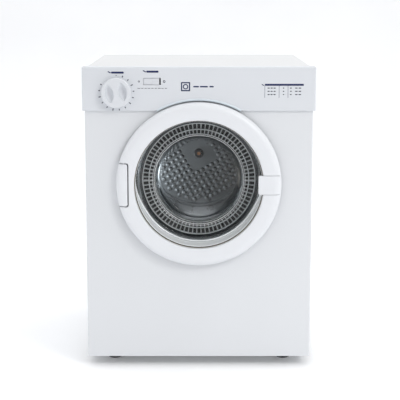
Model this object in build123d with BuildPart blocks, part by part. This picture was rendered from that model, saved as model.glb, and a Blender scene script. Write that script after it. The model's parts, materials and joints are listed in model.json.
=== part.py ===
from build123d import *
import os
from math import cos, pi, radians, sin, sqrt

os.makedirs("parts", exist_ok=True)

# ---------------------------------------------------------------------------
# Driving dimensions, in millimetres.  +Z is up, the door faces -Y, and the
# origin is on the floor under the middle of the machine.
# ---------------------------------------------------------------------------
HEIGHT = 662.0
FACIA_WIDTH = 500.0
CABINET_WIDTH = 490.0
FOOT_HEIGHT = 22.0
SHEET = 1.0

PANEL_FRONT = -227.0            # outer face of the front panel
FACIA_FRONT = -232.0            # outer face of the control facia
FACIA_BACK = -199.0             # where the facia's top meets the worktop
FACIA_BOTTOM = 568.5
RING_FRONT = -249.0             # crest of the door ring, the foremost point
BACK_FACE = 230.0               # outer face of the back panel
SPIGOT_END = 249.0
WORKTOP_THICKNESS = 16.0
WORKTOP_WIDTH = 482.0

DOOR_Z = 409.0                  # height of the door's centre
RING_OUTER = 178.0
RING_INNER = 139.5
ARCH_RADIUS = 185.0             # cut in the facia, around the door
PANEL_OPENING = 161.0
HINGE_X = -161.0
HINGE_Y = -241.5
HINGE_PIN = 2.0                 # radius

DRUM_Z = 419.0                  # height of the drum's axis
DRUM_RADIUS = 215.0
DRUM_FRONT = -152.0
DRUM_BACK = 165.0
DRUM_MOUTH = 166.5
DRUM_SHAFT = 10.0               # radius
BULKHEAD_FRONT = -158.0
BULKHEAD_OPENING = 144.0
REAR_BULKHEAD = 172.0

MOTOR_X = -95.0
MOTOR_Z = 118.0
MOTOR_SHAFT = 6.0               # radius
BELT_FRONT = 90.0
BELT_BACK = 98.0
BELT_THICKNESS = 1.6
PULLEY_RADIUS = 8.0
IDLER_RADIUS = 16.0

KNOB_X = -176.3
KNOB_Z = 607.2
KNOB_RADIUS = 32.0
KNOB_FRONT = -246.0
KNOB_TILT = 9.0                 # degrees, the grip leans to the left at rest
ROCKER_X = -100.0
ROCKER_Z = 631.0
ROCKER_PIVOT_Y = -222.0
ROCKER_TILT = 8.0               # degrees, the left end is pressed in at rest

VENT_X = 50.0
VENT_Z = 98.0
VENT_RADIUS = 50.0

RUNNING = 0.06                  # radial clearance of a shaft in its bore
MOVING_GAP = 0.3                # between faces of two moving pieces

CABINET_TOP = HEIGHT - WORKTOP_THICKNESS
PANEL_BACK = PANEL_FRONT + SHEET
BULKHEAD_BACK = BULKHEAD_FRONT + SHEET
HALF_CABINET = CABINET_WIDTH / 2
HALF_FACIA = FACIA_WIDTH / 2


# ---------------------------------------------------------------------------
# Helpers used inside the part blocks
# ---------------------------------------------------------------------------
def facing(y):
    """A drawing plane at depth y: x to the right, y up, normal towards the front."""
    return Plane.XZ.offset(-y)


def round_profile(points, centre_z, mode=Mode.ADD):
    """Turn a closed profile of (depth, radius) points about an axis along Y."""
    with BuildSketch(Plane.YZ) as profile:
        with BuildLine():
            Polyline(*[(y, centre_z + r) for y, r in points], close=True)
        make_face()
    revolve(profile.sketch, axis=Axis((0, 0, centre_z), (0, 1, 0)), mode=mode)


def disc(x, z, radius, front, back, mode=Mode.ADD):
    """A disc or round hole along Y, from depth front to depth back."""
    with BuildSketch(facing(back)) as outline:
        with Locations((x, z)):
            Circle(radius)
    extrude(outline.sketch, amount=back - front, mode=mode)


def block(x_range, y_range, z_range, mode=Mode.ADD):
    """A straight-sided block between two values on each axis."""
    middle = [sum(r) / 2 for r in (x_range, y_range, z_range)]
    size = [r[1] - r[0] for r in (x_range, y_range, z_range)]
    with Locations(tuple(middle)):
        Box(*size, mode=mode)


# ---------------------------------------------------------------------------
# Base tray and feet
# ---------------------------------------------------------------------------
TRAY_WALL = 1.2
TRAY_TOP = 44.0
TRAY_HALF_WIDTH = 243.5
TRAY_Y = (-224.0, 227.0)
FOOT_PLACES = [(-190, -160), (190, -160), (-190, 185), (190, 185)]
FOOT_STUD = 4.0                 # radius
FOOT_NECK = 12.0                # radius
FOOT_PAD = (15.0, 19.0)         # radius at the floor and at the top of the pad
ON_FLOOR = (Align.CENTER, Align.CENTER, Align.MIN)

with BuildPart() as base_tray:
    block((-TRAY_HALF_WIDTH, TRAY_HALF_WIDTH), TRAY_Y, (FOOT_HEIGHT, TRAY_TOP))
    block((-TRAY_HALF_WIDTH + TRAY_WALL, TRAY_HALF_WIDTH - TRAY_WALL),
          (TRAY_Y[0] + TRAY_WALL, TRAY_Y[1] - TRAY_WALL),
          (FOOT_HEIGHT + TRAY_WALL, TRAY_TOP), mode=Mode.SUBTRACT)
    with Locations(Plane.XY.offset(FOOT_HEIGHT)):
        with Locations(*FOOT_PLACES):
            Cylinder(FOOT_STUD + 0.2, 3 * TRAY_WALL, mode=Mode.SUBTRACT)
base_tray.part.label = "base_tray"
export_step(base_tray.part, "parts/base_tray.step")

with BuildPart() as feet:
    for foot_x, foot_y in FOOT_PLACES:
        with Locations((foot_x, foot_y, 0)):
            Cone(*FOOT_PAD, FOOT_HEIGHT - 4, align=ON_FLOOR)
            Cylinder(FOOT_NECK, FOOT_HEIGHT, align=ON_FLOOR)
            Cylinder(FOOT_STUD, FOOT_HEIGHT + 12, align=ON_FLOOR)
        with BuildSketch(Plane.XY.offset(FOOT_HEIGHT + TRAY_WALL)):
            with Locations((foot_x, foot_y)):
                RegularPolygon(8, 6)
        extrude(amount=5)
feet.part.label = "feet"
export_step(feet.part, "parts/feet.step")

# ---------------------------------------------------------------------------
# Outer case
# ---------------------------------------------------------------------------
PANEL_RETURN = -212.0           # rear edge of the front panel's folded sides
CORNER_RADIUS = 3.0
LATCH_SLOT = ((167.5, 175.5), (396.0, 422.0))
SWITCH_RADIUS = 171.5           # the door switch sits on this circle
SWITCH_ANGLE = -30.0
SWITCH_X = SWITCH_RADIUS * cos(radians(SWITCH_ANGLE))
SWITCH_Z = DOOR_Z + SWITCH_RADIUS * sin(radians(SWITCH_ANGLE))
PLUNGER_RADIUS = 2.5
HINGE_SCREW_Z = (DOOR_Z - 30, DOOR_Z + 30)
HINGE_SCREW_X = -170.0
ROCKER_OPENING = (37.5, 15.0)

with BuildPart() as front_panel:
    block((-HALF_CABINET, HALF_CABINET), (PANEL_FRONT, PANEL_RETURN), (FOOT_HEIGHT, CABINET_TOP))
    fillet(front_panel.edges().filter_by(Axis.Z).group_by(Axis.Y)[0], CORNER_RADIUS)
    block((-HALF_CABINET + SHEET, HALF_CABINET - SHEET), (PANEL_BACK, PANEL_RETURN),
          (FOOT_HEIGHT, CABINET_TOP), mode=Mode.SUBTRACT)
    disc(0, DOOR_Z, PANEL_OPENING, PANEL_FRONT - 1, PANEL_BACK + 1, mode=Mode.SUBTRACT)
    block(LATCH_SLOT[0], (PANEL_FRONT - 1, PANEL_BACK + 1), LATCH_SLOT[1], mode=Mode.SUBTRACT)
    disc(SWITCH_X, SWITCH_Z, PLUNGER_RADIUS + 1, PANEL_FRONT - 1, PANEL_BACK + 1,
         mode=Mode.SUBTRACT)
    disc(KNOB_X, KNOB_Z, 8, PANEL_FRONT - 1, PANEL_BACK + 1, mode=Mode.SUBTRACT)
    block((ROCKER_X - 20, ROCKER_X + 20), (PANEL_FRONT - 1, PANEL_BACK + 1),
          (ROCKER_Z - 9, ROCKER_Z + 9), mode=Mode.SUBTRACT)
    for screw_z in HINGE_SCREW_Z:
        disc(HINGE_SCREW_X, screw_z, 2.2, PANEL_FRONT - 1, PANEL_BACK + 1, mode=Mode.SUBTRACT)
front_panel.part.label = "front_panel"
export_step(front_panel.part, "parts/front_panel.step")

WRAP_FRONT = PANEL_RETURN
WRAP_BACK = BACK_FACE - SHEET
REAR_FRAME = (222.0, (44.0, 610.0))

with BuildPart() as cabinet_wrap:
    block((-HALF_CABINET, HALF_CABINET), (WRAP_FRONT, WRAP_BACK), (FOOT_HEIGHT, CABINET_TOP))
    block((-HALF_CABINET + SHEET, HALF_CABINET - SHEET), (WRAP_FRONT, WRAP_BACK - SHEET),
          (FOOT_HEIGHT, CABINET_TOP), mode=Mode.SUBTRACT)
    block((-REAR_FRAME[0], REAR_FRAME[0]), (WRAP_BACK - 2, WRAP_BACK + 1), REAR_FRAME[1],
          mode=Mode.SUBTRACT)
cabinet_wrap.part.label = "cabinet_wrap"
export_step(cabinet_wrap.part, "parts/cabinet_wrap.step")

BACK_PANEL_HALF = 243.0
BACK_PANEL_Z = (40.0, CABINET_TOP - 4)
GLAND = (-196.0, 560.0)
GLAND_NECK = 9.0                # radius of the hole that the gland sits in
LOUVRE = (60.0, 5.0)
LOUVRE_MIDDLE = (0, 210)
LOUVRE_STEP = (85, 14)
LOUVRE_COUNT = (4, 6)
SCREW_HEAD = 4.5                # radius
SCREW_PLACES = [(screw_x, screw_z) for screw_x in (-233, 233) for screw_z in (80, 240, 400, 560)]
SCREW_PLACES += [(screw_x, screw_z) for screw_x in (-120, 120) for screw_z in (50, 632)]

with BuildPart() as back_panel:
    block((-BACK_PANEL_HALF, BACK_PANEL_HALF), (BACK_FACE - SHEET, BACK_FACE), BACK_PANEL_Z)
    disc(VENT_X, VENT_Z, VENT_RADIUS + 1, WRAP_BACK - 1, BACK_FACE + 1, mode=Mode.SUBTRACT)
    disc(*GLAND, GLAND_NECK, WRAP_BACK - 1, BACK_FACE + 1, mode=Mode.SUBTRACT)
    with BuildSketch(facing(BACK_FACE + 1)):
        with Locations(LOUVRE_MIDDLE):
            with GridLocations(*LOUVRE_STEP, *LOUVRE_COUNT):
                SlotOverall(*LOUVRE)
    extrude(amount=SHEET + 2, mode=Mode.SUBTRACT)
back_panel.part.label = "back_panel"
export_step(back_panel.part, "parts/back_panel.step")

with BuildPart() as panel_screws:
    for screw_x, screw_z in SCREW_PLACES:
        disc(screw_x, screw_z, SCREW_HEAD, BACK_FACE, BACK_FACE + 2.4)
        block((screw_x - 3, screw_x + 3), (BACK_FACE + 1.4, BACK_FACE + 3),
              (screw_z - 0.6, screw_z + 0.6), mode=Mode.SUBTRACT)
panel_screws.part.label = "panel_screws"
export_step(panel_screws.part, "parts/panel_screws.step")

with BuildPart() as worktop:
    block((-WORKTOP_WIDTH / 2, WORKTOP_WIDTH / 2), (FACIA_BACK, BACK_FACE),
          (CABINET_TOP, HEIGHT))
    fillet(worktop.edges().filter_by(Axis.Z).group_by(Axis.Y)[-1], 6)
    fillet(worktop.faces().sort_by(Axis.Z)[-1].edges() - worktop.edges().group_by(Axis.Y)[0], 3)
worktop.part.label = "worktop"
export_step(worktop.part, "parts/worktop.step")

# ---------------------------------------------------------------------------
# Control facia, timer and heat switch
# ---------------------------------------------------------------------------
FACIA_WALL = 2.5
FACIA_LIP = 2.5
FACIA_RIBS = (-225, -30, 95, 225)

with BuildPart() as control_facia:
    block((-HALF_FACIA, HALF_FACIA), (FACIA_FRONT, FACIA_BACK), (FACIA_BOTTOM, HEIGHT))
    fillet(control_facia.edges().filter_by(Axis.Z).group_by(Axis.Y)[0], 3)
    fillet(control_facia.faces().sort_by(Axis.Z)[-1].edges()
           - control_facia.edges().group_by(Axis.Y)[-1], 2)
    block((-HALF_FACIA + FACIA_WALL, HALF_FACIA - FACIA_WALL),
          (FACIA_FRONT + FACIA_WALL, FACIA_BACK), (FACIA_BOTTOM, HEIGHT - FACIA_WALL),
          mode=Mode.SUBTRACT)
    block((-HALF_CABINET, HALF_CABINET), (FACIA_FRONT + FACIA_WALL, PANEL_FRONT),
          (FACIA_BOTTOM, FACIA_BOTTOM + FACIA_LIP))
    disc(0, DOOR_Z, ARCH_RADIUS + FACIA_LIP, FACIA_FRONT + FACIA_WALL, PANEL_FRONT)
    block((-HALF_CABINET, HALF_CABINET), (FACIA_FRONT - 1, FACIA_BACK),
          (0, FACIA_BOTTOM), mode=Mode.SUBTRACT)
    disc(0, DOOR_Z, ARCH_RADIUS, FACIA_FRONT - 1, PANEL_FRONT + 1, mode=Mode.SUBTRACT)
    disc(KNOB_X, KNOB_Z, 5, FACIA_FRONT - 1, FACIA_FRONT + 5, mode=Mode.SUBTRACT)
    block((ROCKER_X - ROCKER_OPENING[0] / 2, ROCKER_X + ROCKER_OPENING[0] / 2),
          (FACIA_FRONT - 1, FACIA_FRONT + 5),
          (ROCKER_Z - ROCKER_OPENING[1] / 2, ROCKER_Z + ROCKER_OPENING[1] / 2),
          mode=Mode.SUBTRACT)
    for rib_x in FACIA_RIBS:
        block((rib_x - 1, rib_x + 1), (FACIA_FRONT + FACIA_WALL, PANEL_FRONT),
              (FACIA_BOTTOM + 30, HEIGHT - FACIA_WALL))
control_facia.part.label = "control_facia"
export_step(control_facia.part, "parts/control_facia.step")

# The timer's knob is a thick disc with two leaf-shaped finger hollows.
SHAFT_RADIUS = 3.0
HOLLOW_LENGTH = 41.0
HOLLOW_WIDTH = 19.0
HOLLOW_OFFSET = 14.3
knob_face = Plane(origin=(KNOB_X, KNOB_FRONT, KNOB_Z),
                  x_dir=(cos(radians(KNOB_TILT)), 0, sin(radians(KNOB_TILT))),
                  z_dir=(0, -1, 0))

with BuildPart() as timer_knob:
    disc(KNOB_X, KNOB_Z, KNOB_RADIUS, KNOB_FRONT, FACIA_FRONT - MOVING_GAP)
    fillet(timer_knob.edges().sort_by(Axis.Y)[0], 2.5)
    for side in (-1, 1):
        with BuildSketch(knob_face):
            with BuildLine():
                low = (side * HOLLOW_OFFSET, -HOLLOW_LENGTH / 2)
                high = (side * HOLLOW_OFFSET, HOLLOW_LENGTH / 2)
                ThreePointArc(low, (side * HOLLOW_OFFSET + HOLLOW_WIDTH / 2, 0), high)
                Line(high, low)
            make_face()
        leaf_axis = Axis(knob_face.from_local_coords((side * HOLLOW_OFFSET, 0, 0)),
                         knob_face.y_dir)
        revolve(axis=leaf_axis, mode=Mode.SUBTRACT)
    disc(KNOB_X, KNOB_Z, SHAFT_RADIUS, FACIA_FRONT - 9, FACIA_FRONT, mode=Mode.SUBTRACT)
timer_knob.part.label = "timer_knob"
export_step(timer_knob.part, "parts/timer_knob.step")

TIMER_FRONT = PANEL_BACK
TIMER_BACK = -184.0
TIMER_FLANGE = (52.0, 44.0)
TIMER_CAN = 20.0                # radius

with BuildPart() as timer_shaft:
    disc(KNOB_X, KNOB_Z, SHAFT_RADIUS, FACIA_FRONT - 9, TIMER_BACK - 12)
timer_shaft.part.label = "timer_shaft"
export_step(timer_shaft.part, "parts/timer_shaft.step")

with BuildPart() as timer_body:
    with Locations((KNOB_X, TIMER_FRONT + 1, KNOB_Z)):
        Box(TIMER_FLANGE[0], 2, TIMER_FLANGE[1])
    disc(KNOB_X, KNOB_Z, TIMER_CAN, TIMER_FRONT, TIMER_BACK)
    block((KNOB_X - 18, KNOB_X - 2), (TIMER_BACK - 20, TIMER_BACK + 6),
          (KNOB_Z - 16, KNOB_Z + 16))
    disc(KNOB_X, KNOB_Z, SHAFT_RADIUS + RUNNING, TIMER_FRONT - 1, TIMER_BACK - 11,
         mode=Mode.SUBTRACT)
timer_body.part.label = "timer_body"
export_step(timer_body.part, "parts/timer_body.step")

ROCKER_HALF_LENGTH = 17.0
ROCKER_HEIGHT = 13.6
ROCKER_CREASE = 8.0             # the crease stands this far in front of the pivot
ROCKER_PIN = 1.5                # radius
rocker_plane = Plane(origin=(ROCKER_X, ROCKER_PIVOT_Y, ROCKER_Z - ROCKER_HEIGHT / 2),
                     x_dir=(cos(radians(ROCKER_TILT)), -sin(radians(ROCKER_TILT)), 0),
                     z_dir=(0, 0, 1))
rocker_end = ROCKER_CREASE + ROCKER_HALF_LENGTH * sin(radians(ROCKER_TILT))

with BuildPart() as heat_rocker:
    with BuildSketch(rocker_plane):
        with BuildLine():
            Polyline((-ROCKER_HALF_LENGTH, -rocker_end), (0, -ROCKER_CREASE),
                     (ROCKER_HALF_LENGTH, -rocker_end), (ROCKER_HALF_LENGTH - 1, -4),
                     (5, 3), (-5, 3), (1 - ROCKER_HALF_LENGTH, -4), close=True)
        make_face()
    extrude(amount=ROCKER_HEIGHT)
    with BuildSketch(rocker_plane):
        Circle(ROCKER_PIN + RUNNING)
    extrude(amount=ROCKER_HEIGHT, mode=Mode.SUBTRACT)
heat_rocker.part.label = "heat_rocker"
export_step(heat_rocker.part, "parts/heat_rocker.step")

ROCKER_HOUSING_BACK = -202.0
with BuildPart() as rocker_housing:
    block((ROCKER_X - 19.5, ROCKER_X + 19.5), (FACIA_FRONT + FACIA_WALL, ROCKER_HOUSING_BACK),
          (ROCKER_Z - 8.5, ROCKER_Z + 8.5))
    block((ROCKER_X - 18.7, ROCKER_X + 18.7), (FACIA_FRONT, ROCKER_HOUSING_BACK - 4),
          (ROCKER_Z - 7.4, ROCKER_Z + 7.4), mode=Mode.SUBTRACT)
    with Locations((ROCKER_X, ROCKER_PIVOT_Y, ROCKER_Z)):
        Cylinder(ROCKER_PIN, 16)
rocker_housing.part.label = "rocker_housing"
export_step(rocker_housing.part, "parts/rocker_housing.step")

# ---------------------------------------------------------------------------
# Door
# ---------------------------------------------------------------------------
RIM_BACK = -232.5               # rear edge of the ring's outer wall
PLATE_FRONT = -236.5            # the inner frame's plate closes the ring's channel
PLATE_BACK = -233.5
FLANGE_FRONT = -239.0
RING_WALL = 3.0
HINGE_BLOCK_X = (-178.0, -153.5)
HINGE_NOTCH_X = -151.0
HINGE_BLOCK_HALF = 45.5
HINGE_GAP = 2.5
EAR_DEPTH = 12.0
HANDLE_X = (128.0, 173.0)
HANDLE_HALF = 20.3
HANDLE_GROOVE = 0.8

# Depth and radius along the ring's outside: the inner edge, the gently
# convex face, and the rounded outer edge.
RING_FACE = [(-246.0, RING_INNER), (-247.2, RING_INNER + 0.8), (-247.9, RING_INNER + 2.4),
             (-248.5, 147.0), (-248.9, 154.0), (RING_FRONT, 159.0), (-248.7, 164.0),
             (-247.6, 169.0), (-245.6, 173.2), (-242.6, 176.2), (-239.0, RING_OUTER)]
HANDLE_FACE = [(-246.2, 127.0), (-247.6, 129.5)] + RING_FACE[3:]
ring_outline = [(FLANGE_FRONT, RING_INNER)] + RING_FACE + [(RIM_BACK, RING_OUTER)]


def ring_solid(face, back, inner):
    """The full revolved ring under a face line, down to depth back."""
    line = [point for point in face if point[0] < back]
    round_profile([(back, inner)] + line + [(back, line[-1][1])], DOOR_Z)


with BuildPart() as ring_channel:
    round_profile([(RIM_BACK + 1, RING_INNER - 1), (FLANGE_FRONT, RING_INNER - 1),
                   (FLANGE_FRONT, RING_INNER + RING_WALL), (-244.5, RING_INNER + RING_WALL),
                   (-245.8, 156.0), (-245.6, 163.0), (-243.6, 169.5), (-240.0, 174.0),
                   (PLATE_FRONT, RING_OUTER - RING_WALL),
                   (RIM_BACK + 1, RING_OUTER - RING_WALL)], DOOR_Z)
    for side in (-1, 1):
        ear_z = sorted((DOOR_Z + side * (HINGE_BLOCK_HALF + HINGE_GAP - 1),
                        DOOR_Z + side * (HINGE_BLOCK_HALF + HINGE_GAP + EAR_DEPTH)))
        block((-175, HINGE_NOTCH_X + 3), (-250, PLATE_FRONT), ear_z, mode=Mode.SUBTRACT)

with BuildPart() as door_ring:
    round_profile(ring_outline, DOOR_Z)
    add(ring_channel.part, mode=Mode.SUBTRACT)
    with BuildSketch(facing(RIM_BACK + 5)):
        with Locations((HINGE_NOTCH_X - 20, DOOR_Z)):
            RectangleRounded(40, 2 * (HINGE_BLOCK_HALF + HINGE_GAP), 5)
        with Locations((HINGE_NOTCH_X - 30, DOOR_Z)):
            Rectangle(40, 2 * (HINGE_BLOCK_HALF + HINGE_GAP))
    extrude(amount=30, mode=Mode.SUBTRACT)
    with Locations((HINGE_X, HINGE_Y, DOOR_Z)):
        Cylinder(HINGE_PIN + RUNNING, 2 * (HINGE_BLOCK_HALF + HINGE_GAP + EAR_DEPTH - 2),
                 mode=Mode.SUBTRACT)
    block((RING_INNER - 2, HANDLE_X[1]), (RING_FRONT - 1, RIM_BACK - 4),
          (DOOR_Z - HANDLE_HALF - HANDLE_GROOVE, DOOR_Z + HANDLE_HALF + HANDLE_GROOVE),
          mode=Mode.SUBTRACT)
door_ring.part.label = "door_ring"
export_step(door_ring.part, "parts/door_ring.step")

with BuildPart() as door_handle:
    ring_solid(HANDLE_FACE, -240.0, 127.0)
    with BuildSketch(facing(-240)):
        with Locations(((HANDLE_X[0] + HANDLE_X[1]) / 2, DOOR_Z)):
            RectangleRounded(HANDLE_X[1] - HANDLE_X[0], 2 * HANDLE_HALF, 2.5)
    extrude(amount=12, mode=Mode.INTERSECT)
door_handle.part.label = "door_handle"
export_step(door_handle.part, "parts/door_handle.step")

with BuildPart() as hinge_block:
    ring_solid(RING_FACE, PANEL_FRONT, RING_INNER)
    with BuildSketch(facing(PANEL_FRONT)):
        block_width = HINGE_BLOCK_X[1] - HINGE_BLOCK_X[0]
        with Locations(((HINGE_BLOCK_X[0] + HINGE_BLOCK_X[1]) / 2 - 5, DOOR_Z)):
            RectangleRounded(block_width + 10, 2 * HINGE_BLOCK_HALF, 4)
    extrude(amount=30, mode=Mode.INTERSECT)
    with Locations((HINGE_X, HINGE_Y, DOOR_Z)):
        Cylinder(HINGE_PIN, 4 * HINGE_BLOCK_HALF, mode=Mode.SUBTRACT)
hinge_block.part.label = "hinge_block"
export_step(hinge_block.part, "parts/hinge_block.step")

with BuildPart() as hinge_pin:
    with Locations((HINGE_X, HINGE_Y, DOOR_Z)):
        Cylinder(HINGE_PIN, 2 * (HINGE_BLOCK_HALF + HINGE_GAP + EAR_DEPTH - 4))
    chamfer(hinge_pin.edges(), 0.5)
hinge_pin.part.label = "hinge_pin"
export_step(hinge_pin.part, "parts/hinge_pin.step")

with BuildPart() as hinge_bracket:
    block((-184, -163), (PANEL_BACK, PANEL_BACK + 2), (DOOR_Z - 45, DOOR_Z + 45))
    for screw_z in HINGE_SCREW_Z:
        disc(HINGE_SCREW_X, screw_z, 4, PANEL_BACK + 2, PANEL_BACK + 5)
        disc(HINGE_SCREW_X, screw_z, 2, PANEL_FRONT, PANEL_BACK + 2)
hinge_bracket.part.label = "hinge_bracket"
export_step(hinge_bracket.part, "parts/hinge_bracket.step")

# The window is a clear bowl: a flange, a long wall, a ring-shaped floor for
# the filter to sit behind, and a deeper round cup in the middle.  Each bend
# has its own inside radius, and the outside follows it at the glass's thickness.
GLASS = 2.5
FLOOR_FRONT = -178.0
CUP_RADIUS = 98.0
CUP_FRONT = -135.0
CUP_END = 90.5                  # radius of the cup's wall at its end
WALL_MOUTH = 137.5
WALL_END = 133.8
FLOOR_BEND = 11.0
CUP_BEND = 9.0


def bend(part, depth, radius, size):
    """Round the circular edge of a turned part that lies at a depth and radius."""
    edges = part.edges().filter_by(GeomType.CIRCLE)
    fillet(edges.filter_by(lambda edge: abs(edge.radius - radius) < 0.01
                           and abs(edge.center().Y - depth) < 0.01), size)


with BuildPart() as door_window:
    round_profile([(FLANGE_FRONT, 145.0), (FLANGE_FRONT, WALL_MOUTH), (FLOOR_FRONT, WALL_END),
                   (FLOOR_FRONT, CUP_RADIUS), (CUP_FRONT, CUP_END), (CUP_FRONT, 0),
                   (CUP_FRONT + GLASS, 0), (CUP_FRONT + GLASS, CUP_END + GLASS),
                   (FLOOR_FRONT + GLASS, CUP_RADIUS + GLASS),
                   (FLOOR_FRONT + GLASS, WALL_END + GLASS), (PLATE_FRONT, 139.4),
                   (PLATE_FRONT, 145.0)], DOOR_Z)
    bend(door_window, FLANGE_FRONT, WALL_MOUTH, 1.8)
    bend(door_window, FLOOR_FRONT, WALL_END, FLOOR_BEND)
    bend(door_window, FLOOR_FRONT + GLASS, WALL_END + GLASS, FLOOR_BEND + GLASS)
    bend(door_window, FLOOR_FRONT, CUP_RADIUS, 2.5)
    bend(door_window, FLOOR_FRONT + GLASS, CUP_RADIUS + GLASS, 1.0)
    bend(door_window, CUP_FRONT, CUP_END, CUP_BEND)
    bend(door_window, CUP_FRONT + GLASS, CUP_END + GLASS, CUP_BEND + GLASS)
door_window.part.label = "door_window"
export_step(door_window.part, "parts/door_window.step")

SKIRT_END = -163.0
AIR_CUT = (170, 9)              # the gap under the skirt that lets air down to the fan
AIR_CUT_Y = -170.5

with BuildPart() as door_inner_frame:
    round_profile([(PLATE_FRONT, 139.5), (PLATE_FRONT, 174.6), (PLATE_BACK, 174.6),
                   (PLATE_BACK, 142.0), (SKIRT_END, 139.0), (SKIRT_END, 137.0),
                   (-180.0, 137.0)], DOOR_Z)
    block((-180, HINGE_NOTCH_X + 3), (-240, PLATE_BACK + 1),
          (DOOR_Z - HINGE_BLOCK_HALF - HINGE_GAP - EAR_DEPTH - 2,
           DOOR_Z + HINGE_BLOCK_HALF + HINGE_GAP + EAR_DEPTH + 2), mode=Mode.SUBTRACT)
    with BuildSketch(Plane.XY.offset(DOOR_Z - 160)):
        with Locations((0, AIR_CUT_Y)):
            Rectangle(*AIR_CUT)
    extrude(amount=80, mode=Mode.SUBTRACT)
door_inner_frame.part.label = "door_inner_frame"
export_step(door_inner_frame.part, "parts/door_inner_frame.step")

with BuildPart() as door_seal:
    round_profile([(SKIRT_END, 137.0), (SKIRT_END, 147.0), (BULKHEAD_FRONT - MOVING_GAP, 147.0),
                   (BULKHEAD_FRONT - MOVING_GAP, 143.0), (SKIRT_END + 2, 141.0),
                   (SKIRT_END + 2, 137.0)], DOOR_Z)
door_seal.part.label = "door_seal"
export_step(door_seal.part, "parts/door_seal.step")

STRIKER_X = (170.0, 173.0)
with BuildPart() as door_striker:
    block(STRIKER_X, (PLATE_BACK, -208), (DOOR_Z - 8, DOOR_Z + 8))
    block(STRIKER_X, (-216, -211), (DOOR_Z - 4, DOOR_Z + 4), mode=Mode.SUBTRACT)
door_striker.part.label = "door_striker"
export_step(door_striker.part, "parts/door_striker.step")

with BuildPart() as latch_body:
    block((162, 184), (PANEL_BACK, -203), (DOOR_Z - 16, DOOR_Z + 16))
    block((STRIKER_X[0] - 2.5, STRIKER_X[1] + 2.5), (PANEL_BACK - 1, -206),
          (DOOR_Z - 11, DOOR_Z + 11), mode=Mode.SUBTRACT)
latch_body.part.label = "latch_body"
export_step(latch_body.part, "parts/latch_body.step")

with BuildPart() as door_switch_plunger:
    disc(SWITCH_X, SWITCH_Z, PLUNGER_RADIUS, PLATE_BACK + MOVING_GAP, -212)
door_switch_plunger.part.label = "door_switch_plunger"
export_step(door_switch_plunger.part, "parts/door_switch_plunger.step")

with BuildPart() as door_switch_body:
    block((SWITCH_X - 8, SWITCH_X + 8), (PANEL_BACK, -200), (SWITCH_Z - 12, SWITCH_Z + 12))
    disc(SWITCH_X, SWITCH_Z, PLUNGER_RADIUS + RUNNING, PANEL_BACK - 1, -208,
         mode=Mode.SUBTRACT)
door_switch_body.part.label = "door_switch_body"
export_step(door_switch_body.part, "parts/door_switch_body.step")

# The lint filter: two rings of square windows in front of a fine mesh.
FILTER_FRONT = -164.0
FILTER_BACK = -160.0
FILTER_OUTER = 134.5
FILTER_WINDOWS = 80
WINDOW_ROWS = ((100.8, 109.6), (112.0, 123.4))
BAR = 2.4                       # width of the bars between windows
MESH_OUTER = 126.0
MESH_THICKNESS = 0.6

with BuildPart() as filter_frame:
    round_profile([(FILTER_FRONT, CUP_RADIUS + 1), (FILTER_FRONT, FILTER_OUTER),
                   (FILTER_BACK, FILTER_OUTER), (FILTER_BACK, CUP_RADIUS + 3),
                   (FILTER_BACK + 10, CUP_RADIUS + 2), (FILTER_BACK + 10, CUP_RADIUS)],
                  DOOR_Z)
    for inner, outer in WINDOW_ROWS:
        with BuildSketch(facing(FILTER_BACK + 1)):
            with Locations((0, DOOR_Z)):
                with PolarLocations((inner + outer) / 2, FILTER_WINDOWS):
                    Rectangle(outer - inner, pi * (inner + outer) / FILTER_WINDOWS - BAR)
        extrude(amount=6, mode=Mode.SUBTRACT)
filter_frame.part.label = "filter_frame"
export_step(filter_frame.part, "parts/filter_frame.step")

with BuildPart() as filter_mesh:
    round_profile([(FILTER_BACK, CUP_RADIUS + 4), (FILTER_BACK, MESH_OUTER),
                   (FILTER_BACK + MESH_THICKNESS, MESH_OUTER),
                   (FILTER_BACK + MESH_THICKNESS, CUP_RADIUS + 4)], DOOR_Z)
filter_mesh.part.label = "filter_mesh"
export_step(filter_mesh.part, "parts/filter_mesh.step")

# ---------------------------------------------------------------------------
# Front bulkhead, its seals and the air path to the fan
# ---------------------------------------------------------------------------
BULKHEAD_HALF = 243.0
COLLAR_RADIUS = 160.0           # the drum's mouth turns around this collar
COLLAR_END = -138.0
FAN_INLET = 44.0
FAN_HOUSING_RADIUS = 80.0

with BuildPart() as front_bulkhead:
    block((-BULKHEAD_HALF, BULKHEAD_HALF), (BULKHEAD_FRONT, BULKHEAD_FRONT + 14),
          (TRAY_TOP + 2, CABINET_TOP - 2))
    block((-BULKHEAD_HALF + SHEET, BULKHEAD_HALF - SHEET), (BULKHEAD_BACK, BULKHEAD_FRONT + 15),
          (TRAY_TOP + 2, CABINET_TOP - 2), mode=Mode.SUBTRACT)
    disc(0, DRUM_Z, COLLAR_RADIUS + SHEET, BULKHEAD_FRONT, COLLAR_END)
    disc(0, DRUM_Z, COLLAR_RADIUS, BULKHEAD_BACK, COLLAR_END + 1, mode=Mode.SUBTRACT)
    disc(0, DOOR_Z, BULKHEAD_OPENING, BULKHEAD_FRONT - 1, BULKHEAD_BACK + 1,
         mode=Mode.SUBTRACT)
    disc(MOTOR_X, MOTOR_Z, FAN_INLET, BULKHEAD_FRONT - 1, BULKHEAD_BACK + 1,
         mode=Mode.SUBTRACT)
front_bulkhead.part.label = "front_bulkhead"
export_step(front_bulkhead.part, "parts/front_bulkhead.step")

# A channel open at the back, from under the door down to the fan's inlet.
DUCT_FRONT = -204.0
DUCT_WALL = 2.0
DUCT_CLEARANCE = 158.0          # room for the door's seal as it swings out
DUCT_OUTLINE = [(-118, 330), (118, 330), (118, 262), (-20, 70), (-60, 52), (-130, 52),
                (-158, 90), (-158, 150), (-118, 262)]

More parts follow.
